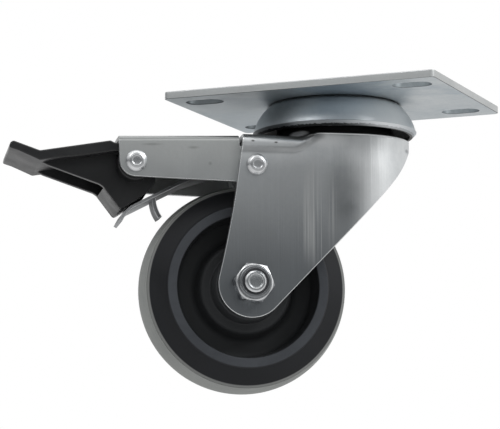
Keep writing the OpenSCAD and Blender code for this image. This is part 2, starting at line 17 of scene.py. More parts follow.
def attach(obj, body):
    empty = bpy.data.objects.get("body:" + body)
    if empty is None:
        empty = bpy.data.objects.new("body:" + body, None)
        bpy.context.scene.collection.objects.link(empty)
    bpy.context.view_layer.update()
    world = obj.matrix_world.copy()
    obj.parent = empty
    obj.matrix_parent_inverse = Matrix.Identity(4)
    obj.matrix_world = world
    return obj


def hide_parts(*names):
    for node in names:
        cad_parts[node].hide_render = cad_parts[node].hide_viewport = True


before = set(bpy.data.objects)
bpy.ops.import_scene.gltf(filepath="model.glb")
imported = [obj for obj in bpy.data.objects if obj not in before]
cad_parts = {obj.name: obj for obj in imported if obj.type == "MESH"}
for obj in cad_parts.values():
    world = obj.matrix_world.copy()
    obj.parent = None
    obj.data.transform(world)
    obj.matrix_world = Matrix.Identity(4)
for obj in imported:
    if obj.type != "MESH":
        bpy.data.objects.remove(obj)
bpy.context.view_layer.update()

# %% [markdown]
# ## Places to work in
# A drawing of a castor has its own axes for each unit, and so does this file. All sizes are in
# millimetres, as on the drawing, and one matrix per unit takes them to metres in the shared frame.
# The fork's unit starts at the top of its crown and is turned 32 degrees under the plate. The
# wheel's unit lies along the axle: its Z points out of the side with the lock nut.

# %% Places
MM = Matrix.Scale(0.001, 4)
PLATE = MM
CROWN_LEVEL = -16.6
SWIVEL_TURN = math.radians(32)
FORK = MM @ Matrix.Rotation(SWIVEL_TURN, 4, "Z") @ Matrix.Translation((0, 0, CROWN_LEVEL))
OUTWARD = Matrix.Rotation(math.radians(90), 4, "X")
AXLE_POINT = Vector((-35.6, -56.2))
HOUSING_PIN = Vector((-33.4, -12.6))
PEDAL_PIN = Vector((-77.1, -11.8))
HOUSING_END = Vector((-83.5, 0, -2.5))
HOUSING_TILT = math.radians(-1.4)


def across_fork(point):
    """Place for a round piece whose axis crosses the fork at this point of its side view."""
    return FORK @ Matrix.Translation((point[0], 0, point[1])) @ OUTWARD


AXLE = across_fork(AXLE_POINT)
HOUSING = FORK @ Matrix.Translation(HOUSING_END) @ Matrix.Rotation(HOUSING_TILT, 4, "Y")
print("axle at", [round(c * 1000, 1) for c in AXLE.translation], "mm")

# %% [markdown]
# ## Settling a piece
# Each piece is drawn in a bmesh, Blender's workbench for meshes. When it is done it is moved to its
# place once, turned into an object, shaded smooth up to a crease angle, and hung on the CAD body
# that carries it. A weighted-normal modifier keeps flat sheet flat beside its rounded edges.


# %% Settle
def settle(name, bm, place, body, nodes, materials, crease=38):
    """Turns a finished bmesh into an object that rides on a body and stands for CAD nodes."""
    bm.transform(place)
    bmesh.ops.recalc_face_normals(bm, faces=bm.faces[:])
    mesh = bpy.data.meshes.new(name)
    bm.to_mesh(mesh)
    bm.free()
    for material in materials:
        mesh.materials.append(material)
    mesh.shade_smooth()
    mesh.set_sharp_from_angle(angle=math.radians(crease))
    piece = bpy.data.objects.new(name, mesh)
    bpy.context.scene.collection.objects.link(piece)
    modifier = piece.modifiers.new("even shading", "WEIGHTED_NORMAL")
    modifier.keep_sharp = True
    modifier.weight = 80
    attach(piece, body)
    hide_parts(*nodes)
    size = [round(d * 1000, 1) for d in piece.dimensions]
    print(f"{name}: {len(mesh.polygons)} faces, {size} mm")


# %% [markdown]
# ## Effects that several finishes share
# Zinc, rubber and plastic show the same kinds of unevenness: soft blotches, fine specks, marks that
# run one way, wiped spots and worn rings. Each could be drawn anew in every material. Instead it is
# a node group, built once and placed with its own values, so that all finishes stay alike in kind.
# Small groups give a mask from 0 to 1, and the material decides what the mask does.


# %% Node helpers
# A socket knows its tree as id_data, so a helper that is given one needs no tree beside it.
def add_node(tree, kind, label, **settings):
    """Adds a node with a label and sets its properties."""
    new = tree.nodes.new(kind)
    new.label = label
    for key, value in settings.items():
        setattr(new, key, value)
    return new


def fill(node, *ordered, **named):
    """Fills sockets in order, or by name with underscores for spaces, with values or links."""
    for key, value in [*enumerate(ordered), *named.items()]:
        socket = node.inputs[key if isinstance(key, int) else key.replace("_", " ")]
        if isinstance(value, bpy.types.NodeSocket):
            node.id_data.links.new(value, socket)
        else:
            socket.default_value = value
    return node


def ranged(value, low, high, start=0.0, end=1.0):
    """Number that goes softly from low to high while the value goes from start to end."""
    remap = add_node(value.id_data, "ShaderNodeMapRange", "range", interpolation_type="SMOOTHSTEP")
    fill(remap, Value=value, From_Min=start, From_Max=end, To_Min=low, To_Max=high)
    return remap.outputs["Result"]


def stretched(value):
    """Noise keeps to the middle. This takes it to the full range from 0 to 1."""
    remap = add_node(value.id_data, "ShaderNodeMapRange", "stretch to 0 and 1")
    return fill(remap, Value=value, From_Min=0.3, From_Max=0.7).outputs["Result"]


def maths(operation, first, *others):
    """Number that comes out of one step of arithmetic."""
    step = add_node(first.id_data, "ShaderNodeMath", operation.lower(), operation=operation)
    return fill(step, first, *others).outputs["Value"]


def vector_maths(operation, first, *others, result="Vector"):
    """Vector, or number, that comes out of one step of arithmetic with vectors."""
    step = add_node(first.id_data, "ShaderNodeVectorMath", operation.lower(), operation=operation)
    return fill(step, first, *others).outputs[result]


def mixed_colour(mask, dark, light):
    """Colour that goes from dark to light with a mask. Either end may be a colour or a socket."""
    ends = [(*tone, 1) if isinstance(tone, tuple) else tone for tone in (dark, light)]
    mix = add_node(mask.id_data, "ShaderNodeMix", "tone", data_type="RGBA")
    return fill(mix, Factor=mask, A=ends[0], B=ends[1]).outputs["Result"]


def relief(mask, depth, strength, **under):
    """Bump of a mask, with its depth in metres, on top of another one."""
    bump = add_node(mask.id_data, "ShaderNodeBump", "relief")
    return fill(bump, Height=mask, Distance=depth, Strength=strength, **under).outputs["Normal"]


# %% Group helpers
ORIGIN = (0.0, 0.0, 0.0)
GREY = (0.5, 0.5, 0.5, 1.0)
SOCKETS = {1: "NodeSocketFloat", 3: "NodeSocketVector", 4: "NodeSocketColor"}


def new_group(name, inputs, outputs):
    """A shader node group: its tree, the sockets that it is given and its output node."""
    tree = bpy.data.node_groups.new(name, "ShaderNodeTree")
    for label, value in inputs.items():
        kind = SOCKETS[len(value) if isinstance(value, tuple) else 1]
        socket = tree.interface.new_socket(name=label, in_out="INPUT", socket_type=kind)
        socket.default_value = value
    for label, count in outputs.items():
        tree.interface.new_socket(name=label, in_out="OUTPUT", socket_type=SOCKETS[count])
    return tree, tree.nodes.new("NodeGroupInput").outputs, tree.nodes.new("NodeGroupOutput")


def use_group(group, first, *others, **named):
    """Places a shared group where its first input comes from, and gives its outputs."""
    used = add_node(first.id_data, "ShaderNodeGroup", group.name, node_tree=group)
    return fill(used, first, *others, **named).outputs


def mask_of(group, first, *others, **named):
    """Mask of a shared group."""
    return use_group(group, first, *others, **named)["Mask"]


# %% Blotches and drawn lines
def make_blotches():
    """Soft uneven patches, as on plated or wiped surfaces."""
    inputs = {"Place": ORIGIN, "Size": 60.0, "Sharpness": 0.5}
    tree, given, result = new_group("blotches", inputs, {"Mask": 1})
    patches = add_node(tree, "ShaderNodeTexNoise", "patches")
    fill(patches, Vector=given["Place"], Scale=given["Size"], Roughness=given["Sharpness"])
    fill(patches, Detail=5.0, Distortion=0.6)
    fill(result, Mask=stretched(patches.outputs["Fac"]))
    return tree


def make_drawn_lines():
    """Fine lines along one direction: noise that is squeezed across and stretched along it."""
    inputs = {"Place": ORIGIN, "Across": 900.0, "Along": 12.0}
    tree, given, result = new_group("drawn lines", inputs, {"Mask": 1})
    squeeze = add_node(tree, "ShaderNodeCombineXYZ", "squeeze")
    fill(squeeze, given["Across"], given["Across"], given["Along"])
    place = vector_maths("MULTIPLY", given["Place"], squeeze.outputs["Vector"])
    lines = add_node(tree, "ShaderNodeTexNoise", "lines")
    fill(lines, Vector=place, Scale=1.0, Detail=4.0, Roughness=0.55)
    fill(result, Mask=stretched(lines.outputs["Fac"]))
    return tree


BLOTCHES = make_blotches()
DRAWN_LINES = make_drawn_lines()
print("groups:", BLOTCHES.name, DRAWN_LINES.name)


# %% Spots and bands
def make_spot():
    """Mask that is 1 about a centre and fades to 0 at its reach along each axis."""
    inputs = {"Place": ORIGIN, "Centre": ORIGIN, "Reach": (1.0, 1.0, 1.0), "Core": 0.3}
    tree, given, result = new_group("spot", inputs, {"Mask": 1})
    away = vector_maths("SUBTRACT", given["Place"], given["Centre"])
    share = vector_maths("DIVIDE", away, given["Reach"])
    distance = vector_maths("LENGTH", share, result="Value")
    fill(result, Mask=ranged(distance, 1.0, 0.0, given["Core"], 1.0))
    return tree


def make_band():
    """Mask that rises between two values and falls again between two higher ones."""
    inputs = {"Value": 0.0, "Rise": 0.0, "Risen": 0.2, "Fall": 0.8, "Fallen": 1.0}
    tree, given, result = new_group("band", inputs, {"Mask": 1})
    rise = ranged(given["Value"], 0.0, 1.0, given["Rise"], given["Risen"])
    fall = ranged(given["Value"], 1.0, 0.0, given["Fall"], given["Fallen"])
    fill(result, Mask=maths("MULTIPLY", rise, fall))
    return tree


SPOT = make_spot()
BAND = make_band()
print("groups:", SPOT.name, BAND.name)

# %% [markdown]
# ## A skin that is never even
# Plated and moulded surfaces have cloudy patches and fine specks. The patches change the tone a
# little and the roughness more, which is what the eye reads as a real surface, and the specks are
# also a faint relief. One group makes this skin for every material. Zinc and plastic differ only in
# the values it is given, and in whether the lighter places are the smoother ones.


# %% Skin
def make_skin():
    """Tone, roughness and normal of a surface with patches and specks."""
    tree, given, result = new_group("uneven skin", {
        "Place": ORIGIN, "Patch size": 60.0, "Patch sharpness": 0.6, "Speck size": 800.0,
        "Speck sharpness": 0.7, "Speck share": 0.3, "Speck depth": 0.00003, "Relief": 0.3,
        "Dark": GREY, "Light": GREY, "Roughness of dark": 0.5, "Roughness of light": 0.5,
    }, {"Tone": 4, "Roughness": 1, "Normal": 3})
    patches, specks = (
        mask_of(BLOTCHES, given["Place"], given[f"{kind} size"], given[f"{kind} sharpness"])
        for kind in ("Patch", "Speck")
    )
    both = add_node(tree, "ShaderNodeMix", "patches and specks", data_type="FLOAT")
    mask = fill(both, Factor=given["Speck share"], A=patches, B=specks).outputs["Result"]
    fill(result, Tone=mixed_colour(mask, given["Dark"], given["Light"]))
    ends = given["Roughness of dark"], given["Roughness of light"]
    fill(result, Roughness=ranged(mask, *ends))
    fill(result, Normal=relief(specks, given["Speck depth"], given["Relief"]))
    return tree


SKIN = make_skin()
print("skin:", [socket.name for socket in SKIN.interface.items_tree])

# %% Finishes
DIE_LINES = {"Across": 700.0, "Along": 9.0}
DIE_DEPTH = 0.00006
SPECKS_PER_PATCH = 14


def new_finish(name, dark, light, rough, marks=None, lines=0.0, **skin):
    """A material with the skin, drawn lines in its relief and marks over its tone."""
    material = bpy.data.materials.new(name)
    material.use_nodes = True
    tree = material.node_tree
    place = add_node(tree, "ShaderNodeTexCoord", "place").outputs["Object"]
    ends = {"Roughness_of_dark": rough[0], "Roughness_of_light": rough[1]}
    tones = {"Dark": (*dark, 1), "Light": (*light, 1)}
    tone, roughness, normal = use_group(SKIN, place, **tones, **ends, **skin)
    if marks:
        tone = marks(place, tone)
    if lines:
        drawn = mask_of(DRAWN_LINES, place, **DIE_LINES)
        normal = relief(drawn, DIE_DEPTH, lines, Normal=normal)
    shader = tree.nodes["Principled BSDF"]
    fill(shader, Base_Color=tone, Roughness=roughness, Normal=normal)
    return material, shader


def zinc(name, dark, light, rough, patch, marks=None, lines=0.0, grain=0.3, pitted=0.3):
    """Zinc plate over steel, which is smoother where it is lighter."""
    material, shader = new_finish(
        name, dark, light, rough[::-1], marks, lines, Patch_size=patch, Patch_sharpness=0.62,
        Speck_size=patch * SPECKS_PER_PATCH, Speck_sharpness=0.7, Speck_share=grain, Relief=pitted,
    )
    fill(shader, Metallic=1.0)
    return material


def moulded(name, dark, light, rough, patch, grain, depth=0.00002, marks=None, sheen=0.5):
    """Plastic or rubber: one colour all through, with faint patches and the grain of its mould."""
    material, shader = new_finish(
        name, dark, light, rough, marks, Patch_size=patch, Patch_sharpness=0.6, Relief=0.5,
        Speck_size=grain, Speck_sharpness=0.75, Speck_share=0.0, Speck_depth=depth,
    )
    fill(shader, Specular_IOR_Level=sheen)
    return material


# %% [markdown]
# ## Marks in a unit's own millimetres
# A stain sits at one place of one piece. Its centre is easiest to give in the millimetres of the
# unit that carries it, and there it stays when the fork swivels. A mapping node does that change of
# axes. Each mark is then a colour that is laid over the tone where its masks say so.


# %% Places of marks
def in_unit(place, unit):
    """The same place in the millimetres and along the axes of one unit of the castor."""
    moved, turned_by, scaled = unit.inverted().decompose()
    mapping = add_node(place.id_data, "ShaderNodeMapping", "place in the unit")
    fill(mapping, place, Location=moved, Rotation=turned_by.to_euler(), Scale=scaled)
    return mapping.outputs["Vector"]


def axes(place):
    """The three numbers of a place."""
    return fill(add_node(place.id_data, "ShaderNodeSeparateXYZ", "along each axis"), place).outputs


def from_axis(place):
    """Distance of a place from the Z axis of its unit."""
    x, y, _ = axes(place)
    across = fill(add_node(place.id_data, "ShaderNodeCombineXYZ", "across the axis"), x, y)
    return vector_maths("LENGTH", across.outputs["Vector"], result="Value")


# %% Marks
def laid_over(tone, colour, mask, *others):
    """Lays a colour over a tone where a mask and all others are high. Shares count as masks."""
    for other in others:
        mask = maths("MULTIPLY", mask, other)
    return mixed_colour(mask, tone, colour)


def spotted(tone, place, colour, core, spots):
    """Lays a colour over a tone in some spots, each with a centre, a reach and a share."""
    for centre, reach, share in spots:
        mask = mask_of(SPOT, place, centre, reach, core)
        tone = laid_over(tone, colour, mask, share)
    return tone


def graded(unit, colour, low, high, start, end):
    """Marks that thicken from a low to a high share along the X of a unit."""
    def marks(place, tone):
        along = axes(in_unit(place, unit))["X"]
        return laid_over(tone, colour, ranged(along, low, high, start, end))
    return marks


# %% [markdown]
# ## Zinc-plated steel
# All steel here is zinc plated: a cool light grey, brighter where it was sheared. The plate's
# passivation went bluish in clouds. Painted shade darkens its right end face and its underside round
# the cup, the plate is darker towards its left end and in its left slots, and the spring darkens
# towards the housing that covers it. Painted reflections lighten a few places of the cup and fork.


# %% Plate, spring and ball zinc
def plate_marks(place, tone):
    """Bluish clouds, a darker end over the pedal and, on the underside, painted shade round the cup."""
    clouds = mask_of(BLOTCHES, place, Size=19.0, Sharpness=0.62)
    tone = laid_over(tone, (0.34, 0.42, 0.49), ranged(clouds, 0.0, 0.6, 0.45, 0.75))
    on_plate = in_unit(place, PLATE)
    # Darker towards the left end, over the pedal.
    darker_end = [((-42.0, -6.0, 0.0), (52.0, 60.0, 90.0), 0.7)]
    tone = spotted(tone, on_plate, (0.36, 0.40, 0.42), 0.3, darker_end)
    # Painted shade: a dark ring on the underside where the cup meets the plate.
    cup_contact_shade = ranged(from_axis(on_plate), 0.9, 0.0, 24.0, 25.6)
    underside = ranged(axes(on_plate)["Z"], 1.0, 0.0, -2.7, -2.4)
    return laid_over(tone, (0.03, 0.032, 0.035), cup_contact_shade, underside)


# Painted shade on the plate's right end face.
RIGHT_END_SHADE = graded(PLATE, (0.36, 0.37, 0.37), 0.0, 0.6, 51.4, 52.3)
# The walls of the left slots are darker.
DARKER_LEFT_SLOTS = graded(PLATE, (0.08, 0.09, 0.095), 0.6, 0.0, -38.0, -10.0)
# The spring's face and rims darken towards the housing that covers them.
DARKER_FACE, DARKER_EDGE = (
    graded(FORK, (0.035, 0.037, 0.04), 0.0, 0.85, start, end)
    for start, end in ((-73.0, -63.0), (-64.0, -58.0))
)
PLATE_ZINC = zinc("plate_zinc", (0.50, 0.55, 0.58), (0.68, 0.71, 0.72), (0.34, 0.46), 42, plate_marks)
BRIGHT_ZINC = zinc("bright_zinc", (0.42, 0.44, 0.45), (0.60, 0.61, 0.61), (0.24, 0.36), 160)
SHEARED_STEEL = zinc("sheared_steel", (0.28, 0.32, 0.34), (0.46, 0.50, 0.52), (0.4, 0.55), 200, DARKER_LEFT_SLOTS)
ROLLED_EDGE = zinc("rolled_edge", (0.05, 0.055, 0.06), (0.18, 0.19, 0.2), (0.4, 0.5), 120)
PLATE_SIDE = zinc("plate_side", (0.56, 0.58, 0.58), (0.70, 0.715, 0.715), (0.36, 0.48), 60, RIGHT_END_SHADE)
EDGE_ZINC = zinc("edge_zinc", (0.72, 0.74, 0.75), (0.90, 0.91, 0.91), (0.22, 0.34), 90)
SPRING_STEEL = zinc("spring_steel", (0.34, 0.35, 0.36), (0.52, 0.53, 0.54), (0.60, 0.74), 120, DARKER_FACE)
BLADE_EDGE = zinc("blade_edge", (0.50, 0.51, 0.52), (0.74, 0.75, 0.76), (0.26, 0.36), 90, DARKER_EDGE)
BALL_STEEL = zinc("ball_steel", (0.55, 0.55, 0.55), (0.75, 0.75, 0.75), (0.10, 0.20), 200)
print("metals:", [m.name for m in (PLATE_ZINC, BRIGHT_ZINC, EDGE_ZINC, SPRING_STEEL, BALL_STEEL)])

# %% [markdown]
# ## Fasteners with painted highlights, and greased races
# The bolt, the nut and the rivets are duller than the sheet, because their plating is thin. A ring
# of painted highlight lies on the chamfers of the bolt and nut and on the domes of the rivets. The
# gap between the cup and the crown is black: grease has crept out of the races and holds dust and makes an
# uneven line on the cup's lip, and painted shade darkens the gap further.
# One streak of the race carries a painted glint, and the cup has painted shade on its front and a painted
# reflection on its right.

# %% Fasteners
RING_SOFTNESS = 0.12


def highlight_rings(unit, dull, rings):
    """Marks of a turned piece: dull plating with painted highlight rings between pairs of radii."""
    def marks(place, tone):
        radius = from_axis(in_unit(place, unit))
        cloud = mask_of(BLOTCHES, place, Size=400.0, Sharpness=0.6)
        tone = laid_over(tone, dull, ranged(cloud, 0.75, 1.0))
        # Painted highlight rings on the chamfers of the bolt and nut and on the domes of the rivets.
        for pair in rings:
            limits = [r + soft for r in pair for soft in (-RING_SOFTNESS, RING_SOFTNESS)]
            ring, wear_and_sheen = mask_of(BAND, radius, *limits), ranged(cloud, 0.7, 1.0)
            tone = laid_over(tone, (0.78, 0.79, 0.80), ring, wear_and_sheen)
        return tone
    return marks


def fastener(name, unit, dull, rings):
    """Zinc for one fastener, with its painted highlight rings about its own axis."""
    marks = highlight_rings(unit, dull, rings)
    return zinc(name, (0.42, 0.44, 0.45), (0.56, 0.57, 0.58), (0.22, 0.34), 160, marks)


NUT_ZINC = fastener("nut_zinc", AXLE, (0.22, 0.23, 0.24), [(6.0, 6.75)])
BOLT_ZINC = fastener("bolt_zinc", AXLE, (0.36, 0.38, 0.39), [(2.45, 2.9), (3.4, 3.95)])
HOUSING_PIN_ZINC, PEDAL_PIN_ZINC = (
    fastener(name, across_fork(point), (0.50, 0.51, 0.52), [(2.7, 3.6)])
    for name, point in (("housing_pin_zinc", HOUSING_PIN), ("pedal_pin_zinc", PEDAL_PIN))
)
print("fasteners:", [m.name for m in (NUT_ZINC, BOLT_ZINC, HOUSING_PIN_ZINC, PEDAL_PIN_ZINC)])


# %% Grease
def grease_shade_and_reflection(place, tone):
    """A film of grease and its black, uneven edge on the cup's lip, painted shade on the cup's front and a
    painted reflection on its right.
    """
    on_cup = in_unit(place, PLATE)
    height = axes(on_cup)["Z"]
    # Painted shade on the cup's front side. The same mask keeps the grease film and its edge to that side.
    side = mask_of(SPOT, on_cup, (-10.3, -28.2, -14.0), (42.0, 42.0, 42.0), 0.4)
    tone = laid_over(tone, (0.27, 0.29, 0.31), side, 0.12)
    # Painted reflection: a lighter patch on the cup's right.
    painted_reflection = [((25.0, -15.0, -8.0), (24.0, 24.0, 24.0), 0.8)]
    tone = spotted(tone, on_cup, (0.84, 0.86, 0.87), 0.2, painted_reflection)
    film = ranged(height, 0.8, 0.0, -13.4, -13.0)
    tone = laid_over(tone, (0.17, 0.178, 0.185), film, side)
    cloud = mask_of(BLOTCHES, place, Size=700.0, Sharpness=0.6)
    uneven = maths("MULTIPLY_ADD", cloud, 0.5, height)
    edge = ranged(uneven, 1.0, 0.0, -14.15, -13.85)
    return laid_over(tone, (0.02, 0.021, 0.022), edge, ranged(side, 0.35, 1.0))


def race_glint(place, tone):
    """Paints a glint on one streak of the race's wall, lighter than bare zinc."""
    # Painted glint on the race wall in the gap under the cup.
    glint = mask_of(SPOT, in_unit(place, FORK), (-16.5, -14.0, 0.6), (5.5, 5.5, 1.3), 0.4)
    return laid_over(tone, (0.86, 0.87, 0.88), glint)


CUP_ZINC = zinc("cup_zinc", (0.42, 0.465, 0.50), (0.58, 0.61, 0.63), (0.36, 0.48), 42, grease_shade_and_reflection)
# Grease, and painted shade: near black where the gap under the cup lies in shade.
GREASE_AND_SHADE = zinc("grease_and_shade", (0.012, 0.012, 0.012), (0.03, 0.03, 0.03), (0.30, 0.5), 300, race_glint)
print("head:", CUP_ZINC.name, GREASE_AND_SHADE.name)

# %% [markdown]
# ## The fork's own marks
# The fork is more matt than the plate. Painted shade darkens its legs towards the foot and in a band
# across the middle, and painted reflections lighten the front wrap and the top bend behind it. On
# each leg a patch of painted shade lies below the front bend, and the draw die left streaks beside
# it. Behind, shade lies on the sunk crown and in the crease under the raised band of the leg, and
# painted shade marks two small dimples on the nose.

# %% Fork zinc
BOTH_LEGS = 400.0
LEG_SHADE = (0.13, 0.142, 0.152)


def fork_marks(place, tone):
    """Lays painted shade, painted reflections and the real marks of the fork over its zinc."""
    on_fork = in_unit(place, FORK)
    x, _, z = axes(on_fork)
    front = ranged(x, 1.0, 0.0, -1.0, 9.0)
    # Painted shade: the legs darken towards the foot, and in a band across the middle.
    tone = laid_over(tone, LEG_SHADE, ranged(z, 0.9, 0.0, -60.0, -5.0), front)
    middle = mask_of(BAND, z, -70.0, -45.0, -15.0, -6.0)
    tone = laid_over(tone, LEG_SHADE, middle, 0.3, front)
    # Painted reflections: lighter spots on the front wrap and on the top bend behind it.
    tone = spotted(tone, on_fork, (0.86, 0.87, 0.87), 0.25, (
        ((8.0, 0.0, -12.0), (13.0, BOTH_LEGS, 24.0), 0.3),
        ((-7.0, 0.0, -1.5), (10.0, BOTH_LEGS, 6.0), 0.6),
    ))
    rear = ranged(x, 0.75, 0.0, -12.0, -7.0)
    crown = ranged(z, 0.0, 1.0, -3.0, -1.4)
    tone = laid_over(tone, (0.15, 0.155, 0.16), crown, rear)
    from_crease = maths("ADD", z, ranged(x, 6.9, 1.6, -21.0, -8.5))
    crease = mask_of(BAND, from_crease, -2.2, -0.4, 0.4, 1.6)
    tone = laid_over(tone, (0.17, 0.175, 0.18), crease, 0.75, rear)
    # Painted shade in two small dimples on the nose.
    tone = spotted(tone, on_fork, (0.2, 0.21, 0.22), 0.2, (
        ((25.4, -10.0, -4.3), (1.3, 3.5, 1.1), 0.7), ((26.2, -8.4, -6.4), (0.6, 3.5, 2.4), 0.7),
    ))
    # Painted shade: a dark patch below the front bend, broken by a cloud.
    cloud = mask_of(BLOTCHES, place, Size=30.0, Sharpness=0.55)
    patch = mask_of(SPOT, on_fork, (-1.0, 0.0, -22.0), (10.0, BOTH_LEGS, 18.0), 0.15)
    tone = laid_over(tone, (0.14, 0.15, 0.155), patch, ranged(cloud, 0.5, 0.9))
    drawn = mask_of(DRAWN_LINES, place, Across=1100.0, Along=6.0)
    beside = mask_of(SPOT, on_fork, (-11.5, 0.0, -30.0), (9.0, BOTH_LEGS, 24.0), 0.4)
    streaks = ranged(drawn, 0.0, 0.75, 0.5, 0.85)
    tone = laid_over(tone, (0.52, 0.53, 0.53), streaks, beside)
    stains = [((x, 0.0, z), (0.9, BOTH_LEGS, 0.45), 1.0) for x, z in ((-35.0, -4.0), (-26.5, -4.4))]
    return spotted(tone, on_fork, (0.10, 0.10, 0.10), 0.2, stains)


FORK_ZINC = zinc(
    "fork_zinc", (0.50, 0.52, 0.53), (0.70, 0.715, 0.72), (0.36, 0.46), 38, fork_marks,
    lines=0.7, grain=0.18, pitted=0.1,
)
print("fork:", FORK_ZINC.name)


# %% Housing zinc
def housing_marks(place, tone):
    """A darker lower half, a few stains and painted shade along the top bend."""
    on_housing = in_unit(place, HOUSING)
    height = axes(on_housing)["Z"]
    # Darker towards the lower edge.
    lower = ranged(height, 0.55, 0.0, -15.0, -4.0)
    tone = laid_over(tone, (0.36, 0.375, 0.38), lower)
    tone = spotted(tone, on_housing, (0.22, 0.225, 0.22), 0.1, [
        ((x, 0.0, z), (long, BOTH_LEGS, high), 0.45) for x, z, long, high in (
            (12.0, -3.4, 5.0, 0.7), (27.0, -4.6, 3.0, 0.8), (7.0, -12.0, 4.0, 1.2),
            (33.0, -10.5, 1.0, 1.0),
        )
    ])
    # Painted shade along the top bend, under the plate.
    top_bend_shade = ranged(height, 0.0, 0.8, -1.9, -1.2)
    return laid_over(tone, (0.16, 0.165, 0.165), top_bend_shade)


HOUSING_ZINC = zinc(
    "housing_zinc", (0.45, 0.465, 0.46), (0.60, 0.615, 0.61), (0.34, 0.46), 40, housing_marks,
    lines=0.35, pitted=0.25,
)
print("housing:", HOUSING_ZINC.name)

# %% [markdown]
# ## Plastic and rubber
# The core and the pedal are moulded in black plastic. A mould leaves an even, slightly soft sheen
# and a fine eroded grain. A painted reflection makes the raised ring of the core a lighter grey,
# painted light lightens its dish, and next to the tread it is smeared with rubber. The tread is
# grey non-marking rubber, matt, with faint rings of wear.


# %% Core and tread marks
def core_marks(place, tone):
    """Dish lightened by painted light, raised ring lightened by a painted reflection, and the smear beside
    the tread.
    """
    radius = from_axis(in_unit(place, AXLE))
    # Painted light: the dish is lighter than the rest of the core, against its shade.
    dish = ranged(radius, 1.0, 0.0, 25.4, 26.2)
    tone = laid_over(tone, (0.034, 0.036, 0.038), dish)
    # Painted reflection: the flat raised ring is a lighter grey.
    ring = mask_of(BAND, radius, 25.9, 26.4, 29.2, 29.7)
    ring_cloud = mask_of(BLOTCHES, place, Size=120.0, Sharpness=0.6)
    tone = laid_over(tone, (0.060, 0.065, 0.073), ring, ranged(ring_cloud, 0.8, 1.0))
    smear = ranged(radius, 0.0, 1.0, 35.5, 35.9)
    return laid_over(tone, (0.22, 0.225, 0.22), smear)


def tread_marks(place, tone):
    """Rings that running left in the rubber, dirtier in some places."""
    rings = add_node(place.id_data, "ShaderNodeTexNoise", "rings", noise_dimensions="1D")
    height = axes(in_unit(place, AXLE))["Z"]
    fill(rings, W=height, Scale=2.2, Detail=5.0, Roughness=0.65)
    wear_and_sheen = ranged(rings.outputs["Fac"], 0.0, 0.5, 0.42, 0.68)
    dirt = mask_of(BLOTCHES, place, Size=90.0, Sharpness=0.7)
    return laid_over(tone, (0.15, 0.155, 0.15), wear_and_sheen, ranged(dirt, 0.3, 1.0))


# %% Moulded finishes
BLACK_PLASTIC = moulded(
    "black_plastic", (0.004, 0.0044, 0.005), (0.007, 0.0075, 0.0085), (0.32, 0.44), 55, 2600
)
CORE_PLASTIC = moulded(
    "core_plastic", (0.013, 0.0138, 0.0155), (0.019, 0.020, 0.0225), (0.46, 0.60), 45, 2200,
    marks=core_marks, sheen=0.18,
)
GREY_RUBBER = moulded(
    "grey_rubber", (0.25, 0.26, 0.25), (0.33, 0.34, 0.33), (0.6, 0.8), 60, 1400, 0.00004, tread_marks
)
NYLON, DARK_NYLON = (
    moulded(name, dark, light, (0.35, 0.45), 80, 900, 0.00001) for name, dark, light in (
        ("nylon", (0.62, 0.62, 0.58), (0.74, 0.74, 0.70)),
        ("dark_nylon", (0.03, 0.032, 0.036), (0.05, 0.052, 0.058)),
    )
)
print("moulded:", [m.name for m in (BLACK_PLASTIC, CORE_PLASTIC, GREY_RUBBER, NYLON, DARK_NYLON)])

# %% [markdown]
# ## Rounded outlines
# No pressed, turned or moulded edge is perfectly sharp. Every outline below is a list of corners
# with a radius each. This helper replaces a corner by a short arc, as a draughtsman's fillet does.


# %% Rounded outline
STRAIGHT = 1.56


def rounded(corners, steps=4, closed=True):
    """Points of an outline whose corners (a, b, radius) are replaced by arcs."""
    points = []
    for i, (a, b, radius) in enumerate(corners):
        here = Vector((a, b))
        if not radius or (not closed and i in (0, len(corners) - 1)):
            points.append(here)
            continue
        back = Vector(corners[i - 1][:2]) - here
        ahead = Vector(corners[(i + 1) % len(corners)][:2]) - here
        half = back.angle(ahead) / 2
        if half > STRAIGHT:
            points.append(here)
            continue
        reach = min(radius / math.tan(half), 0.48 * back.length, 0.48 * ahead.length)
        inward = (back.normalized() + ahead.normalized()).normalized()
        centre = here + inward * reach / math.cos(half)
        first = here + back.normalized() * reach - centre
        last = here + ahead.normalized() * reach - centre
        turn = math.atan2(last.y, last.x) - math.atan2(first.y, first.x)
        turn = (turn + math.pi) % (2 * math.pi) - math.pi
        points += [centre + Matrix.Rotation(turn * k / steps, 2) @ first for k in range(steps + 1)]
    return points


def arc(centre, radius, start, end, steps):
    """Points on a circle between two angles, in degrees."""
    angles = [math.radians(start + (end - start) * k / steps) for k in range(steps + 1)]
    return [Vector((centre[0] + radius * math.cos(a), centre[1] + radius * math.sin(a))) for a in angles]


# %% [markdown]
# ## Turned and spun pieces
# The cup, the pins, the wheel and the bushes are round. On a lathe a profile is turned about an
# axis, and the spin operator does the same: it sweeps a chain of edges once round and closes it.


# %% Lathe
def turned(profile, steps, closed=True):
    """Spins a profile of (radius, height) points about Z."""
    bm = bmesh.new()
    verts = [bm.verts.new((p[0], 0, p[1])) for p in profile]
    ends = verts[1:] + verts[:1] if closed else verts[1:]
    edges = [bm.edges.new(pair) for pair in zip(verts, ends)]
    bmesh.ops.spin(
        bm, geom=verts + edges, cent=(0, 0, 0), axis=(0, 0, 1), dvec=(0, 0, 0),
        angle=2 * math.pi, steps=steps, use_merge=True, use_duplicate=False,
    )
    bmesh.ops.remove_doubles(bm, verts=bm.verts[:], dist=0.0005)
    return bm


# %% [markdown]
# ## The top plate
# The plate is blanked from 2.8 mm steel with four slots for bolts of 8 mm. Blanking rolls the edges
# over slightly. A flat curve does this in one go: it fills the outline, leaves the slots open,
# gives the sheet its thickness and rounds every edge with its bevel. It is then made a mesh.


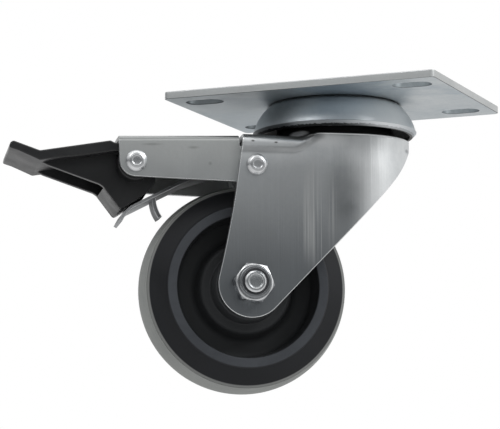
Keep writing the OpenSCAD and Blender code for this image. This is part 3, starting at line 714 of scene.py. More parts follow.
# %% Blanked sheet
def blanked(outlines, thickness, edge):
    """Sheet with holes, from outlines inset by the edge: first the blank, then its holes."""
    curve = bpy.data.curves.new("blank", "CURVE")
    curve.dimensions = "2D"
    curve.fill_mode = "BOTH"
    curve.extrude = thickness / 2 - edge
    curve.bevel_depth = edge
    curve.bevel_resolution = 2
    for outline in outlines:
        spline = curve.splines.new("POLY")
        spline.points.add(len(outline) - 1)
        for point, (x, y) in zip(spline.points, outline):
            point.co = (x, y, 0, 1)
        spline.use_cyclic_u = True
    holder = bpy.data.objects.new("blank", curve)
    mesh = bpy.data.meshes.new_from_object(holder)
    bm = bmesh.new()
    bm.from_mesh(mesh)
    bpy.data.objects.remove(holder)
    bpy.data.meshes.remove(mesh)
    bpy.data.curves.remove(curve)
    bmesh.ops.remove_doubles(bm, verts=bm.verts[:], dist=0.001)
    return bm


def rectangle(length, width, radius, centre=(0, 0), steps=8):
    """Rounded rectangle about a centre."""
    signs = ((-1, -1), (1, -1), (1, 1), (-1, 1))
    return rounded([(centre[0] + x * length / 2, centre[1] + y * width / 2, radius) for x, y in signs], steps)


EDGE = 0.32
PLATE_LENGTH, PLATE_WIDTH, PLATE_SHEET, PIN_SEAT_RADIUS = 104.8, 79.4, 2.8, 8.45
SLOT_LENGTH, SLOT_WIDTH, SLOT_RADIUS, SLOT_X, SLOT_Y = 14.2, 8.7, 4.34, 40.5, 28.6
slot_size = (SLOT_LENGTH + 2 * EDGE, SLOT_WIDTH + 2 * EDGE, SLOT_RADIUS + EDGE)
slots = [rectangle(*slot_size, (x * SLOT_X, y * SLOT_Y), 12) for x in (-1, 1) for y in (-1, 1)]
plate_blank = rectangle(PLATE_LENGTH - 2 * EDGE, PLATE_WIDTH - 2 * EDGE, 2.0 - EDGE)
pin_seat = arc((0, 0), PIN_SEAT_RADIUS + EDGE, 0, 357.5, 143)
plate = blanked([plate_blank, *slots, pin_seat], PLATE_SHEET, EDGE)
FLAT_FACE, SLOT_WALL, ROLLED, OUTER_SIDE = range(4)
for face in plate.faces:
    away, steep = face.calc_center_median(), abs(face.normal.z)
    outer = abs(away.x) > PLATE_LENGTH / 2 - 0.5 or abs(away.y) > PLATE_WIDTH / 2 - 0.5
    if steep < 0.3:
        face.material_index = OUTER_SIDE if outer else SLOT_WALL
    else:
        face.material_index = ROLLED if steep < 0.95 else FLAT_FACE
settle(
    "top_plate", plate, PLATE @ Matrix.Translation((0, 0, -PLATE_SHEET / 2)), "mounting",
    ["top_plate"], [PLATE_ZINC, SHEARED_STEEL, ROLLED_EDGE, PLATE_SIDE],
)

# %% [markdown]
# ## The cup
# Under the plate hangs a deep-drawn cup. Its floor is the upper ball race and its wall hides and
# shields the balls. The outside is one long curve that ends in a lip, turned in at 45 degrees. One
# closed profile gives the wall its true thickness, where a shell with a thickness added to it would
# blur the race. The faces within the curve of the inside take the grease and painted shade.


# %% Cup
UPPER_CIRCLE, UPPER_GROOVE = 19, 3.255


def groove(circle, ball, level, cut):
    """Profile of a ball groove about a level where it breaks a flat face at the cut."""
    half = math.sqrt(ball**2 - (cut - level) ** 2)
    start = math.degrees(math.atan2(cut - level, -half))
    end = math.degrees(math.atan2(cut - level, half))
    return arc((circle, level), ball, start, end, 8)


CUP_CURVE = Vector((12.7, -17.2))
CUP_OUTER, CUP_INNER = 18.2, 15.8
cup_outside = arc(CUP_CURVE, CUP_OUTER, 52.5, 13.2, 18)
cup_rim = rounded([
    (*cup_outside[-1], 0), (30.75, -13.25, 0.7), (29.1, -15.0, 0.55), (28.1, -15.0, 0.35),
    (28.1, -13.6, 0.3), (28.05, -13.4, 0),
], 4, closed=False)
cup_inside = arc(CUP_CURVE, CUP_INNER, 14, 49.5, 12)
cup_groove = reversed(groove(UPPER_CIRCLE, UPPER_GROOVE, -7.725, -5.2))
cup_floor = [*cup_groove, Vector((5.52, -5.2)), Vector((5.52, -2.82)), Vector((23.1, -2.82))]
cup = turned([*cup_outside, *cup_rim[1:], *cup_inside, *cup_floor], 128)
for face in cup.faces:
    away = face.calc_center_median()
    within = (Vector((away.xy.length, away.z)) - CUP_CURVE).length < CUP_INNER + 0.8
    face.material_index = int(within and away.z < -3.0)
settle("swivel_cup", cup, PLATE, "mounting", ["swivel_cup"], [CUP_ZINC, GREASE_AND_SHADE])

# %% [markdown]
# ## The king pin and its nut
# One pin holds the head together. Its top is pressed flat into the countersink of the plate, which
# leaves a shallow dish. A nut clamps the lower race against its shoulder. The nut is a hexagonal
# bar with its corners turned off at 30 degrees, so that each side shows a curved edge.


# %% Hexagon
HEXAGON_STEPS = 6 * 16
FACE_SHARE = 0.97
CHAMFER = math.tan(math.radians(30))


def hexagon(flats, height, bottom=0.0, bore=0.0, turn=0.0):
    """Hexagonal nut or bolt head with chamfered corners, about Z."""
    count = HEXAGON_STEPS
    face = flats / 2 * FACE_SHARE
    bm = bmesh.new()
    rings = []
    inner = bore or 0.01
    for level in range(6):
        ring = bmesh.ops.create_circle(bm, cap_ends=False, radius=1, segments=count)["verts"]
        for vert in ring:
            angle = math.atan2(vert.co.y, vert.co.x)
            side = flats / 2 / math.cos(angle % (math.pi / 3) - math.pi / 6)
            drop = (side - face) * CHAMFER
            radius, z = (
                (inner, 0), (face, 0), (side, drop),
                (side, height - drop), (face, height), (inner, height),
            )[level]
            angle += math.radians(turn)
            vert.co = (radius * math.cos(angle), radius * math.sin(angle), bottom + z)
        rings.append(ring)
    loops = list(zip(rings, rings[1:])) + ([(rings[-1], rings[0])] if bore else [])
    for lower, upper in loops:
        for k in range(count):
            bm.faces.new((lower[k], lower[(k + 1) % count], upper[(k + 1) % count], upper[k]))
    bmesh.ops.remove_doubles(bm, verts=bm.verts[:], dist=0.02)
    return bm


def joined(*parts):
    """Puts several bmeshes into one."""
    whole = bmesh.new()
    for part in parts:
        passing = bpy.data.meshes.new("passing")
        part.to_mesh(passing)
        part.free()
        whole.from_mesh(passing)
        bpy.data.meshes.remove(passing)
    return whole


pin_profile = rounded([
    (0, -0.7, 0), (2.6, -0.7, 0.4), (3.4, -0.22, 0.4), (8.1, -0.15, 0.3), (8.4, -0.45, 0.1), (5.5, -2.1, 0),
    (5.5, -5.2, 0), (7.5, -5.2, 0), (7.5, -16.31, 0.2), (5.0, -16.31, 0), (5.0, -28.4, 0.2),
    (4.3, -29.11, 0.2), (0, -29.11, 0),
], 3, closed=False)
king_pin = turned(pin_profile, 64, closed=False)
king_nut = hexagon(17, 8, -27.31, bore=5.02)
settle("king_pin", king_pin, PLATE, "mounting", ["king_pin"], [BRIGHT_ZINC])
settle("king_nut", king_nut, PLATE, "mounting", ["king_nut"], [BRIGHT_ZINC], crease=25)

# %% [markdown]
# ## Folded sheet
# The fork and the brake housing are each pressed from one flat blank. They are made here in the
# same order: the blank is outlined, given its thickness, its edges are rounded, it is ruled into a
# fine grid, and only then is every point moved to where the press folds it. The thickness stays
# true on both faces of the bend, and the rounded edge follows the outline wherever it goes.


# %% Press a blank
def prism(corners, along):
    """Flat outline, drawn out along a vector."""
    bm = bmesh.new()
    face = bm.faces.new([bm.verts.new(corner) for corner in corners])
    grown = bmesh.ops.extrude_face_region(bm, geom=[face], use_keep_orig=True)["geom"]
    far = [v for v in grown if isinstance(v, bmesh.types.BMVert)]
    bmesh.ops.translate(bm, verts=far, vec=along)
    return bm


def break_rims(bm, rims, width, segments, finish):
    """Rounds some edges. The round takes the material with this index, or its own with -1."""
    bmesh.ops.bevel(
        bm, geom=rims, offset=width, segments=segments, profile=0.5, affect="EDGES",
        clamp_overlap=True, material=finish,
    )


def pressed(outline, thickness, edge, rulings, fold, seam=None):
    """Cuts a blank of sheet from an outline (s, t), rounds its edges, rules it and folds it."""
    bm = prism([(s, t, 0) for s, t in outline], (0, 0, thickness))
    if seam:
        on_seam = [f for f in bm.faces if all(seam(v.co) for v in f.verts)]
        bmesh.ops.delete(bm, geom=on_seam, context="FACES_ONLY")
    flat_edges = [e for e in bm.edges if abs(e.verts[0].co.z - e.verts[1].co.z) < 1e-6]
    break_rims(bm, [e for e in flat_edges if e.is_manifold], edge, 2, 1)
    for normal, places in (((1, 0, 0), rulings[0]), ((0, 1, 0), rulings[1])):
        for place in places:
            everything = bm.verts[:] + bm.edges[:] + bm.faces[:]
            centre = [place * n for n in normal]
            bmesh.ops.bisect_plane(bm, geom=everything, dist=1e-4, plane_co=centre, plane_no=normal)
    for vert in bm.verts:
        vert.co = fold(*vert.co)
    bmesh.ops.remove_doubles(bm, verts=bm.verts[:], dist=0.01)
    return bm


def steps_between(start, end, step):
    """Evenly spaced places from start to end, without the ends."""
    count = max(1, round(abs(end - start) / step))
    return [start + (end - start) * k / count for k in range(1, count)]


def smooth(low, high, value):
    """0 below low, 1 above high and a soft rise between them."""
    share = min(max((value - low) / (high - low), 0), 1)
    return share * share * (3 - 2 * share)


# %% [markdown]
# ## The fork's blank
# Seen from the side, a leg runs from the crown down to a round end about the axle. Its hollow rear
# edge is part of a large circle. Its front edge turns at a knee and swells a little on its way up to
# the nose, where the sheet wraps round the front. On the blank, `s` runs round the fork from the
# front and `t` from the middle of the crown outwards, over the bend and down the leg.

# %% Fork sizes
FORK_SHEET = 2.6
HALF_WIDTH = 23.5
BEND = 3.4
FRONT = 4.9
NOSE_RADIUS = 3.4
FOOT_RADIUS = 12.2
HOLLOW_RADIUS = 380
REAR_TOP = Vector((-38.3, 1))
KNEE = Vector((10.3, -26.1))
SWELL = Vector((0.79, -0.61))
FLAT = HALF_WIDTH - BEND
TURNED_DOWN = FLAT + BEND * math.pi / 2
QUARTER = HALF_WIDTH * math.pi / 2
print("bend ends", round(TURNED_DOWN, 2), "mm from the middle of the blank")


# %% Fork outline
def touch(centre, radius, start, side):
    """Angle at which a line from a point touches a circle."""
    away = start - centre
    return math.atan2(away.y, away.x) + side * math.acos(radius / away.length)


def on_circle(centre, radius, angle):
    """Point of a circle at an angle in radians."""
    return centre + radius * Vector((math.cos(angle), math.sin(angle)))


def leg_edge():
    """Side view of a leg's edge, from the rear of the crown to the front of the nose."""
    nose = Vector((FRONT + HALF_WIDTH - NOSE_RADIUS, -NOSE_RADIUS / 2))
    rear = touch(AXLE_POINT, FOOT_RADIUS, REAR_TOP, 1)
    front = touch(AXLE_POINT, FOOT_RADIUS, KNEE, -1)
    front += 2 * math.pi if front < rear else 0
    lift = touch(nose, NOSE_RADIUS, KNEE, 1)
    chord = on_circle(AXLE_POINT, FOOT_RADIUS, rear) - REAR_TOP
    hollow = Vector((-chord.y, chord.x)).normalized() * chord.length_squared / 8 / HOLLOW_RADIUS
    shares = [k / 48 for k in range(49)]
    edge = [REAR_TOP + chord * share + hollow * 4 * share * (1 - share) for share in shares]
    foot = arc(AXLE_POINT, FOOT_RADIUS, math.degrees(rear), math.degrees(front), 40)
    top = on_circle(nose, NOSE_RADIUS, lift)
    knee = rounded([(*foot[-1], 0), (*KNEE, 3), (*top, 0)], 8, False)
    rise = [knee[-2].lerp(top, k / 30) + SWELL * math.sin(math.pi * k / 30) for k in range(1, 31)]
    front_end = arc(nose, NOSE_RADIUS, math.degrees(lift), 8, 24)
    return edge + foot[1:] + knee[1:-1] + rise + front_end[1:]


def on_blank(point):
    """Place on the blank, left side, of a point of the fork's side view."""
    x, z = point
    if z > -BEND:
        turn = math.acos(max(-1, min(1, 1 + z / BEND)))
        t, out = FLAT + BEND * turn, FLAT + BEND * math.sin(turn)
    else:
        t, out = TURNED_DOWN - BEND - z, HALF_WIDTH
    if x <= FRONT:
        return Vector((x - FRONT - QUARTER, t))
    return Vector((-HALF_WIDTH * math.acos(min(1, (x - FRONT) / out)), t))


side_view = [p for p in leg_edge() if p.y < 0]
left = [on_blank(p) for p in side_view]
rear_run = left[0].x
left = [Vector((rear_run, 0)), Vector((rear_run, FLAT))] + [p for p in left if p.x < -0.3]
nose_t = left[-1].y
blank = left + [Vector((-p.x, p.y)) for p in reversed(left)]
print("fork blank:", len(blank), "corners, nose at", round(nose_t, 2), "mm")

# %% [markdown]
# ## Folding the fork
# A press never leaves the ideal shape. Behind the ball race the crown of this fork lies lower, and
# the metal it pushed away stands out of the upper corner of each leg as a band with a crease under
# it. Over the front the bend is tighter, and beside the nose a small tuck shows where the sheet had
# to gather. Between crown and foot the legs bow in by half a millimetre. One function holds the
# whole fold, because each of these bends the same sheet.


# %% Faults of the press
def crown_drop(x):
    """How far the press sank the crown at this place, in millimetres."""
    return smooth(-10.5, -17.5, x) * (1.55 - 0.55 * smooth(-18, -38, x))


def crease_depth(x):
    """Depth of the crease under the raised band of a leg."""
    return 7.6 - 5.4 * smooth(-21, -8.5, x)


SOFT_RUN = 7


def wrapped(s, out):
    """Plan view of the wrapped sheet. Its round front starts softly, over twice this run."""
    def ideal(run):
        if abs(run) > QUARTER:
            return Vector((FRONT - (abs(run) - QUARTER), math.copysign(out, run)))
        return Vector((FRONT + out * math.cos(run / HALF_WIDTH), out * math.sin(run / HALF_WIDTH)))

    if abs(s) > QUARTER + SOFT_RUN:
        return ideal(s)
    plump = 1 + 0.02 * smooth(QUARTER, QUARTER - 22, abs(s))
    mean = (ideal(s - SOFT_RUN) + 2 * ideal(s) + ideal(s + SOFT_RUN)) / 4
    return Vector((FRONT + (mean.x - FRONT) * plump, mean.y))


# %% Fold the fork
BAND_HEIGHT, TUCK_DEPTH, BOW, WAVE, TIGHTER = 0.85, 0.7, 0.45, 0.13, 0.62


def fork_fold(s, t, depth):
    """Where a point of the fork's blank ends up on the pressed fork."""
    before = FRONT - (abs(s) - QUARTER)
    sharper = BEND * TIGHTER * smooth(-17.5, -9.5, before)
    if t < FLAT:
        turn, out, down = 0.0, t, 0.0
    elif t <= TURNED_DOWN:
        turn, radius = (t - FLAT) / BEND, BEND - sharper
        out, down = HALF_WIDTH - radius * (1 - math.sin(turn)), radius * (1 - math.cos(turn))
    else:
        turn, out, down = math.pi / 2, HALF_WIDTH, BEND + t - TURNED_DOWN
    x = before if abs(s) > QUARTER else FRONT + out * math.cos(s / HALF_WIDTH)
    band = smooth(-9.0, -14.5, x) * smooth(0.2, 2.6, down)
    raised = BAND_HEIGHT * band * (1 - smooth(-3.0, -0.1, down - crease_depth(x)))
    tuck = TUCK_DEPTH * math.exp(-((abs(s) - 13.0) / 1.9) ** 2 - ((down - 4.2) / 1.5) ** 2)
    push = raised - tuck - depth
    if down > 0.5:
        push += WAVE * noise.noise(Vector((x * 0.12, down * 0.07, 3.1 if s > 0 else 7.7)))
        push -= BOW * smooth(21.0, 3.0, down) ** 2 * math.sin(turn)
    out, down = out + push * math.sin(turn), down - push * math.cos(turn)
    down += crown_drop(x) * (1 - smooth(4.0, 10.0, down))
    return (*wrapped(s, out), -down)


# %% Press the fork
deep = max(p.y for p in blank)
rule_s = steps_between(-QUARTER, QUARTER, 1.4) + [
    side * (QUARTER + r) for side in (-1, 1) for r in [0] + steps_between(0, 54, 0.8)
]
fine_end = TURNED_DOWN + 9
rule_t = (
    steps_between(0, FLAT, 1.6) + [FLAT + BEND * math.pi / 2 * k / 8 for k in range(9)]
    + steps_between(TURNED_DOWN, fine_end, 0.5) + [fine_end] + steps_between(fine_end, deep, 1.5)
)
fork = pressed(blank, FORK_SHEET, 0.3, (rule_s, rule_t), fork_fold, lambda co: abs(co.y) < 1e-4)
print("pressed:", len(fork.faces), "faces")

# %% [markdown]
# ## The race in the crown
# The middle of the crown is drawn up into a ring with a ball groove on top and another below. The
# ring is turned as a solid of its own here and set into the crown. The flat sheet that would close
# it from below is cut out, because the real ring is open underneath.

# %% Race
race_top, race_under = 6.35, 3.75
race = rounded([
    (21.75, -1.6, 0), (21.75, -1.3, 0), (21.6, race_top, 0.9), (21.1, race_top, 0),
], 4, closed=False)
race += reversed(groove(UPPER_CIRCLE, UPPER_GROOVE, 8.875, race_top))
race += [Vector(p) for p in (
    (9.3, race_top), (9.0, race_top - 0.3), (9.0, race_under + 0.3), (9.3, race_under)
)]
race += groove(12.5, 2.46, 2.02, race_under)
race += rounded([
    (14.6, race_under, 0), (19.15, race_under, 1.2), (19.15, -2.75, 0.4), (20.6, -2.75, 0)
], 4, closed=False)
inside = [f for f in fork.faces if all(v.co.xy.length < 20.4 and v.co.z > -4 for v in f.verts)]
bmesh.ops.delete(fork, geom=inside, context="FACES")
race_ring = turned(race, 128)
# The race ring takes the near-black finish of grease, also painted shade where it shows in the gap under the
# cup.
for face in race_ring.faces:
    face.material_index = 2
fork = joined(fork, race_ring)
settle("fork", fork, FORK, "fork_unit", ["fork"], [FORK_ZINC, EDGE_ZINC, GREASE_AND_SHADE])

# %% [markdown]
# ## The brake housing
# A channel of 1.6 mm sheet sits between the legs and carries the pedal. Its web stops in front of
# the crown, while its sides run on between the legs to the first pin. It is pressed like the fork.

# %% Housing
H_HALF, H_BEND, H_SHEET = 20.88, 2.2, 1.6
H_WEB, H_LENGTH, H_HEIGHT, H_TONGUE = 44.0, 57.7, 14.7, 4.4
H_FLAT = H_HALF - H_BEND
H_TURNED = H_FLAT + H_BEND * math.pi / 2


def housing_t(below):
    """Distance on the housing's blank from its middle to this depth below the web."""
    return H_TURNED + below - H_BEND


def housing_fold(u, t, depth):
    """Where a point of the housing's blank ends up on the folded channel."""
    side, t = math.copysign(1, t), abs(t)
    turn = min(max(t - H_FLAT, 0) / H_BEND, math.pi / 2)
    out = min(t, H_FLAT) + (H_BEND - depth) * math.sin(turn)
    down = H_BEND - (H_BEND - depth) * math.cos(turn) + max(t - H_TURNED, 0)
    dent = 0.05 * noise.noise(Vector((u * 0.09, down * 0.12, side * 4)))
    return (u, side * (out + dent * math.sin(turn)), -down)


slope = math.tan(math.radians(3.3))
half_blank = rounded([
    (0, 0, 0), (0, housing_t(H_HEIGHT), 6), (H_LENGTH, housing_t(H_HEIGHT + slope * H_LENGTH), 1),
    (H_LENGTH, housing_t(H_TONGUE), 0.8), (H_WEB, housing_t(H_TONGUE), 0.8), (H_WEB, 0, 0),
], 8, closed=False)
housing_blank = half_blank[1:-1] + [Vector((p.x, -p.y)) for p in reversed(half_blank[1:-1])]
bends = [side * (H_FLAT + H_BEND * math.pi / 2 * k / 6) for side in (-1, 1) for k in range(7)]
walls = [side * (H_TURNED + d) for side in (-1, 1) for d in (3, 6, 9, 12)]
housing_rulings = (steps_between(0, H_LENGTH, 3), bends + [0] + walls)
housing = pressed(housing_blank, H_SHEET, 0.22, housing_rulings, housing_fold)
for face in housing.faces:
    if face.calc_center_median().z > -H_BEND:
        face.material_index = 0
settle(
    "brake_housing", housing, HOUSING, "fork_unit", ["brake_housing"],
    [HOUSING_ZINC, EDGE_ZINC],
)

# %% [markdown]
# ## The pins of the brake
# Each pin is a soft steel rivet. The press forms a low dome with a small flat in the middle, and
# the edge of the dome lies tight on the sheet. Both ends look the same.


# %% Rivets
def rivet(face):
    """Pin with a formed head at each end, both heads on faces at this distance."""
    head = rounded([
        (3.0, face - 0.3, 0), (3.85, face - 0.3, 0), (3.95, face + 0.35, 0.3),
        (3.0, face + 1.45, 0.9), (1.9, face + 1.88, 0.5), (1.5, face + 1.5, 0.3), (0, face + 1.42, 0),
    ], 5, closed=False)
    return turned([Vector((p.x, -p.y)) for p in reversed(head)] + head, 48, closed=False)


for name, point, face, finish in (
    ("housing_pin", HOUSING_PIN, 23.45, HOUSING_PIN_ZINC), ("pedal_pin", PEDAL_PIN, 20.85, PEDAL_PIN_ZINC)
):
    settle(name, rivet(face), across_fork(point), "fork_unit", [name], [finish])

# %% [markdown]
# ## Axle bolt and lock nut
# The bolt's head is on the far side. On the near side its chamfered end stands 1 mm out of a lock
# nut: a hexagon with a round collar that is rolled over a ring of nylon.

# %% Bolt and nut
NUT_HEIGHT, COLLAR_HEIGHT, BOLT_STANDS_OUT = 6.2, 1.9, 1.0
bolt_end = HALF_WIDTH + NUT_HEIGHT + COLLAR_HEIGHT + BOLT_STANDS_OUT
bolt_profile = rounded([
    (0, bolt_end - 0.5, 0), (2.25, bolt_end - 0.5, 0.3), (2.55, bolt_end, 0.25), (3.2, bolt_end, 0.15),
    (3.95, bolt_end - 0.8, 0.15), (3.95, -26, 0), (0, -26, 0),
], 3, closed=False)
bolt = joined(turned(bolt_profile, 64, closed=False), hexagon(13, 5.3, -28.8))
settle("axle_bolt", bolt, AXLE, "fork_unit", ["axle_bolt"], [BOLT_ZINC], crease=25)
collar = rounded([
    (3.97, 4.0, 0), (5.9, 4.0, 0), (5.9, 8.1, 0.9), (4.75, 8.1, 0.25), (4.75, 6.4, 0), (3.97, 6.4, 0),
], 5)
nut_body = joined(hexagon(13, NUT_HEIGHT, bore=3.97, turn=-8), turned(collar, 64))
NUT = AXLE @ Matrix.Translation((0, 0, HALF_WIDTH))
settle("axle_nut", nut_body, NUT, "fork_unit", ["axle_nut"], [NUT_ZINC], crease=25)
insert = rounded([(3.97, 6.2, 0), (5.18, 6.2, 0), (5.18, 7.85, 0.5), (3.97, 7.75, 0.4)], 4)
settle("nut_insert", turned(insert, 64), NUT, "fork_unit", ["nut_insert"], [DARK_NYLON])

# %% [markdown]
# ## The wheel
# The core is moulded over a sleeve: hub, a deep dish, a raised ring and a sloping rim. All its
# corners are rounded, since plastic flows badly round sharp ones. The tread is moulded onto the
# rim and is slightly crowned.


# %% Core and tread
def core_corners(side):
    """Corners of the core's profile on one side, from the hub out to the rim."""
    corners = [
        (8.0, 19.0, 0.3), (12.5, 19.0, 0.8), (13.0, 10.0, 0.8), (16.6, 10.0, 1.6),
        (18.6, 3.9, 2.4), (25.0, 4.1, 1.8), (26.0, 16.0, 0.6), (29.5, 16.0, 0.5),
        (29.85, 15.3, 0.3), (36.5, 10.95, 0.25), (36.35, 10.5, 0.1),
    ]
    return [(r, side * y, fillet) for r, y, fillet in corners]


seat = [(33.0, 8.6, 0), (33.0, -8.6, 0)]
core = turned(rounded(core_corners(1) + seat + core_corners(-1)[::-1], 4), 160)
settle("wheel_core", core, AXLE, "wheel", ["wheel_core"], [CORE_PLASTIC])
TREAD_EDGE, TREAD_HALF, CROWNING = 36.75, 10.2, 1.35
widths = [TREAD_HALF - 2 * TREAD_HALF * k / 16 for k in range(17)]
crowned = [Vector((TREAD_EDGE + CROWNING * (1 - (y / TREAD_HALF) ** 2), y)) for y in widths]
shoulder = [(36.5, 10.75, 0), (TREAD_EDGE, 10.78, 0.2), (*crowned[0], 0.5), (*crowned[1], 0)]
tread_profile = [Vector((33.02, 8.64))] + rounded(shoulder, 4, False)
tread_profile += crowned[2:-2] + [Vector((p.x, -p.y)) for p in reversed(tread_profile)]
tread = turned(tread_profile, 160)
settle("wheel_tread", tread, AXLE, "wheel", ["wheel_tread"], [GREY_RUBBER])

# %% [markdown]
# ## The pedal
# The pedal is one moulding: a foot plate, two walls under it, a cam at the bottom that rubs on the
# blade, and a boss on each side for the pin. Slabs with rounded rims are drawn from their side
# views and moulded into each other, as the cavities of its mould are.


# %% Slab
def slab(outline, low, high, edge, segments=3, rim=-1):
    """Prism across the fork between two widths, with rounded rims."""
    bm = prism([(x, low, z) for x, z in outline], (0, high - low, 0))
    rims = [e for e in bm.edges if abs(e.verts[0].co.y - e.verts[1].co.y) < 1e-6]
    break_rims(bm, rims, edge, segments, rim)
    return bm


PEDAL = FORK @ Matrix.Translation((PEDAL_PIN.x, 0, PEDAL_PIN.y))
PEDAL_HALF = 18.88
foot_plate = rounded([
    (-45.6, 4.3, 0.7), (-45.3, 6.1, 0.8), (-44.2, 6.9, 1.2), (-34.6, 3.5, 2.0), (-9.1, 7.7, 1.2),
    (-7.6, 6.9, 0.8), (-3, 6.2, 0), (-3, 3.4, 0), (-8, 3.7, 0), (-20.8, 1.7, 0), (-28.1, 0.9, 0),
    (-34.6, -0.1, 1.2), (-42.4, 3.3, 1.0),
], 5)
cam_tip = [(-5.3, -16, 0.8), (-4.6, -16.3, 0.5), (-3.7, -15.9, 0.8)]
wall = rounded([
    (-34.3, 1.6, 0), (-34.3, 0.6, 0.3), (-31.2, -0.9, 1.0), (-12.5, -7.4, 1.0), (-11.1, -8.4, 1.0),
    *cam_tip, (2.3, -12, 0.8), (6, -9.3, 1.2), (8, -6.2, 1.2), (6.4, 0, 0.5), (0, 5, 0), (-8, 6, 0),
], 4)
cam = rounded([
    (-11.1, -8.4, 0.8), *cam_tip, (-0.9, -14, 0.5), (-3.4, -12.6, 0), (-9, -6.4, 0)
], 4)
boss_profile = rounded([
    (3.06, 10.1, 0.1), (6.6, 10.1, 0), (6.6, PEDAL_HALF, 0.5), (3.06, PEDAL_HALF, 0.3)
], 4)
parts = [slab(foot_plate, -PEDAL_HALF, PEDAL_HALF, 0.6), slab(cam, -12.6, 12.6, 0.3)]
for side in (-1, 1):
    parts.append(slab(wall, *sorted((side * 10.0, side * 12.7)), 0.35))
    boss = turned(boss_profile, 48)
    boss.transform(Matrix.Rotation(math.radians(90 * side), 4, "X"))
    parts.append(boss)
pedal = joined(*parts)
settle("brake_pedal", pedal, PEDAL, "pedal", ["brake_pedal"], [BLACK_PLASTIC])

# %% [markdown]
# ## The brake blade
# A strip of spring steel is rolled into an eye on the first pin, runs down under the cam and curls
# at its end. A hooked tooth is welded under it. Both are drawn as a middle line that is given its
# thickness on either side, like wire between two dividers. The sheared rims are brighter than the
# faces, so their rounding has a finish of its own.


# %% Strip
def strip(middle, thickness):
    """Outline of a strip along a middle line."""
    sides = ([], [])
    for i, point in enumerate(middle):
        ahead = middle[min(i + 1, len(middle) - 1)] - middle[max(i - 1, 0)]
        normal = Vector((-ahead.y, ahead.x)).normalized() * thickness / 2
        sides[0].append(point + normal)
        sides[1].append(point - normal)
    return sides[0] + sides[1][::-1]


EYE_MIDDLE = 3.66
blade_bends = [
    (*(PEDAL_PIN + Vector(bend)), radius) for bend, radius in (
        ((19.6, -4.9), 5), ((-0.9, -15.4), 3), ((-2.9, -17.4), 2.5), ((-4.4, -20.2), 0)
    )
]
first_bend = Vector(blade_bends[0][:2])
leave = math.degrees(touch(HOUSING_PIN, EYE_MIDDLE, first_bend, -1))
eye = arc(HOUSING_PIN, EYE_MIDDLE, leave - 335, leave, 40)
run = rounded([(*eye[-1], 0)] + blade_bends, 6, closed=False)
blade = slab(strip(eye + run[1:], 1.2), -10, 10, 0.22, 2, 1)
tooth_line = arc(PEDAL_PIN + Vector((20.9, -10.8)), 12.6, 178, 216, 14)
tooth = slab(strip(tooth_line, 1.6), -4.5, 4.5, 0.3, 2, 1)
settle(
    "brake_blade", joined(blade, tooth), FORK, "blade", ["brake_blade"],
    [SPRING_STEEL, BLADE_EDGE],
)

# %% [markdown]
# ## Hidden pieces
# The balls, the lower race, the sleeve, the spacers and the bushes are plain turned pieces. Their
# CAD shapes are right, so they keep them and only take the finish of their metal or plastic.

# %% Finish the CAD pieces
FINISHES = {
    "upper_balls": BALL_STEEL, "lower_balls": BALL_STEEL, "lower_race": BRIGHT_ZINC,
    "axle_sleeve": BRIGHT_ZINC, "pin_spacers": BRIGHT_ZINC, "hub_bushes": NYLON,
}
for name, material in FINISHES.items():
    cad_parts[name].data.materials.clear()
    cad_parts[name].data.materials.append(material)
print("kept from CAD:", sorted(FINISHES))

# %% [markdown]
# ## The studio
# The castor hangs in the air as it would under a trolley. The pale floor lies a metre below it, far
# enough to stay out of the way when the camera looks up from below. Metal shows what it faces, so
# the room matters more than the lamps: it is white behind the castor and above it, and dimmer on
# the camera's side.

# %% Floor
FLOOR_LEVEL, FLOOR_HALF = -1.0, 16
floor_mesh = bmesh.new()
bmesh.ops.create_grid(floor_mesh, x_segments=1, y_segments=1, size=FLOOR_HALF)
floor_data = bpy.data.meshes.new("floor")
floor_mesh.to_mesh(floor_data)
floor_mesh.free()
floor = bpy.data.objects.new("floor", floor_data)
floor.location.z = FLOOR_LEVEL
pale = bpy.data.materials.new("pale_floor")
pale.use_nodes = True
fill(pale.node_tree.nodes["Principled BSDF"], Base_Color=(0.72, 0.72, 0.72, 1), Roughness=0.8)
floor_data.materials.append(pale)
bpy.context.scene.collection.objects.link(floor)
print("floor at", FLOOR_LEVEL, "m")


# %% Room
WHITE_WALL = (0.30, 0.954, 0.0)


def make_room():
    """World that is white behind the castor and to its right, and dimmer in front and left."""
    world = bpy.data.worlds.new("room")
    world.use_nodes = True
    tree = world.node_tree
    direction = add_node(tree, "ShaderNodeTexCoord", "direction").outputs["Generated"]
    towards = vector_maths("DOT_PRODUCT", direction, WHITE_WALL, result="Value")
    wall = ranged(towards, 0.0, 1.0, -0.05, 0.26)
    ceiling = ranged(axes(direction)["Z"], 0.0, 0.8, 0.10, 0.62)
    white = maths("MAXIMUM", wall, ceiling)
    tone = mixed_colour(white, (0.19, 0.198, 0.205), (1, 1, 1))
    fill(tree.nodes["Background"], Color=tone)
    return world


bpy.context.scene.world = make_room()
print("room:", bpy.context.scene.world.name)


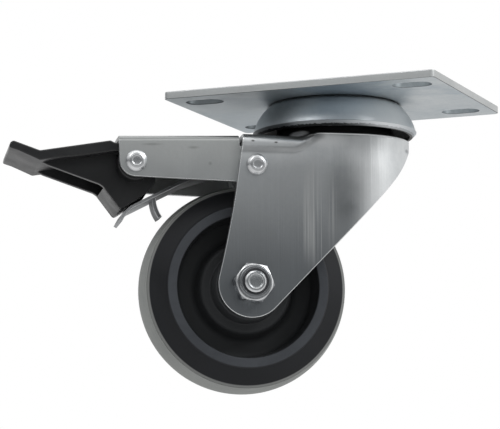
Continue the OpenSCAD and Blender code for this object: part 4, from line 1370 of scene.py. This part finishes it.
# %% Lamps
def softbox(name, place, aim, size, power):
    """Rectangular area lamp that points at a place."""
    lamp = bpy.data.lights.new(name, "AREA")
    lamp.shape = "RECTANGLE"
    lamp.size, lamp.size_y = size
    lamp.energy = power
    holder = bpy.data.objects.new(name, lamp)
    holder.location = place
    holder.rotation_euler = (Vector(aim) - Vector(place)).to_track_quat("-Z", "Y").to_euler()
    bpy.context.scene.collection.objects.link(holder)


softbox("top_box", (0.0, 0.15, 0.9), (0, 0, -0.05), (0.9, 0.9), 3)
softbox("front_box", (-0.3, -0.75, 0.8), (-0.02, -0.02, -0.04), (0.6, 0.4), 2)
softbox("right_box", (0.85, -0.05, 0.65), (0.1, 0, -0.1), (0.5, 0.5), 5)
print("lamps:", [lamp.name for lamp in bpy.data.lights])

# %% [markdown]
# ## The camera
# The picture was taken from below the plate, looking up, so that the underside of the plate and the
# cup show. The place and the lens are fitted to the plate, the wheel and the rivets in the picture.
# They are given along the fork's unit, whose side faces the camera, and then turned with it.

# %% Camera
PIXELS, FOCAL_PIXELS, SENSOR = 500, 2439.1, 36
YAW, PITCH, ROLL = math.radians(-9.493), math.radians(8.094), math.radians(-0.297)
STAND = Vector((-0.17995, -0.88316, -0.17156))
UNIT = Matrix.Rotation(SWIVEL_TURN, 3, "Z")
level = Vector((math.cos(YAW), math.sin(YAW), 0))
ahead = Vector((-math.sin(YAW), math.cos(YAW), 0))
look = ahead * math.cos(PITCH) + Vector((0, 0, math.sin(PITCH)))
upward = level.cross(look)
right = level * math.cos(ROLL) + upward * math.sin(ROLL)
top = -level * math.sin(ROLL) + upward * math.cos(ROLL)
camera = bpy.data.objects.new("camera", bpy.data.cameras.new("camera"))
turned_camera = Matrix((UNIT @ right, UNIT @ top, UNIT @ -look)).transposed().to_4x4()
camera.matrix_world = Matrix.Translation(UNIT @ STAND) @ turned_camera
camera.data.sensor_width = SENSOR
camera.data.lens = FOCAL_PIXELS * SENSOR / PIXELS
camera.data.clip_start, camera.data.clip_end = 0.01, 50
bpy.context.scene.collection.objects.link(camera)
bpy.context.scene.camera = camera
bpy.context.scene.view_settings.view_transform = "Standard"
print("lens", round(camera.data.lens, 1), "mm, at", [round(c, 3) for c in camera.location])
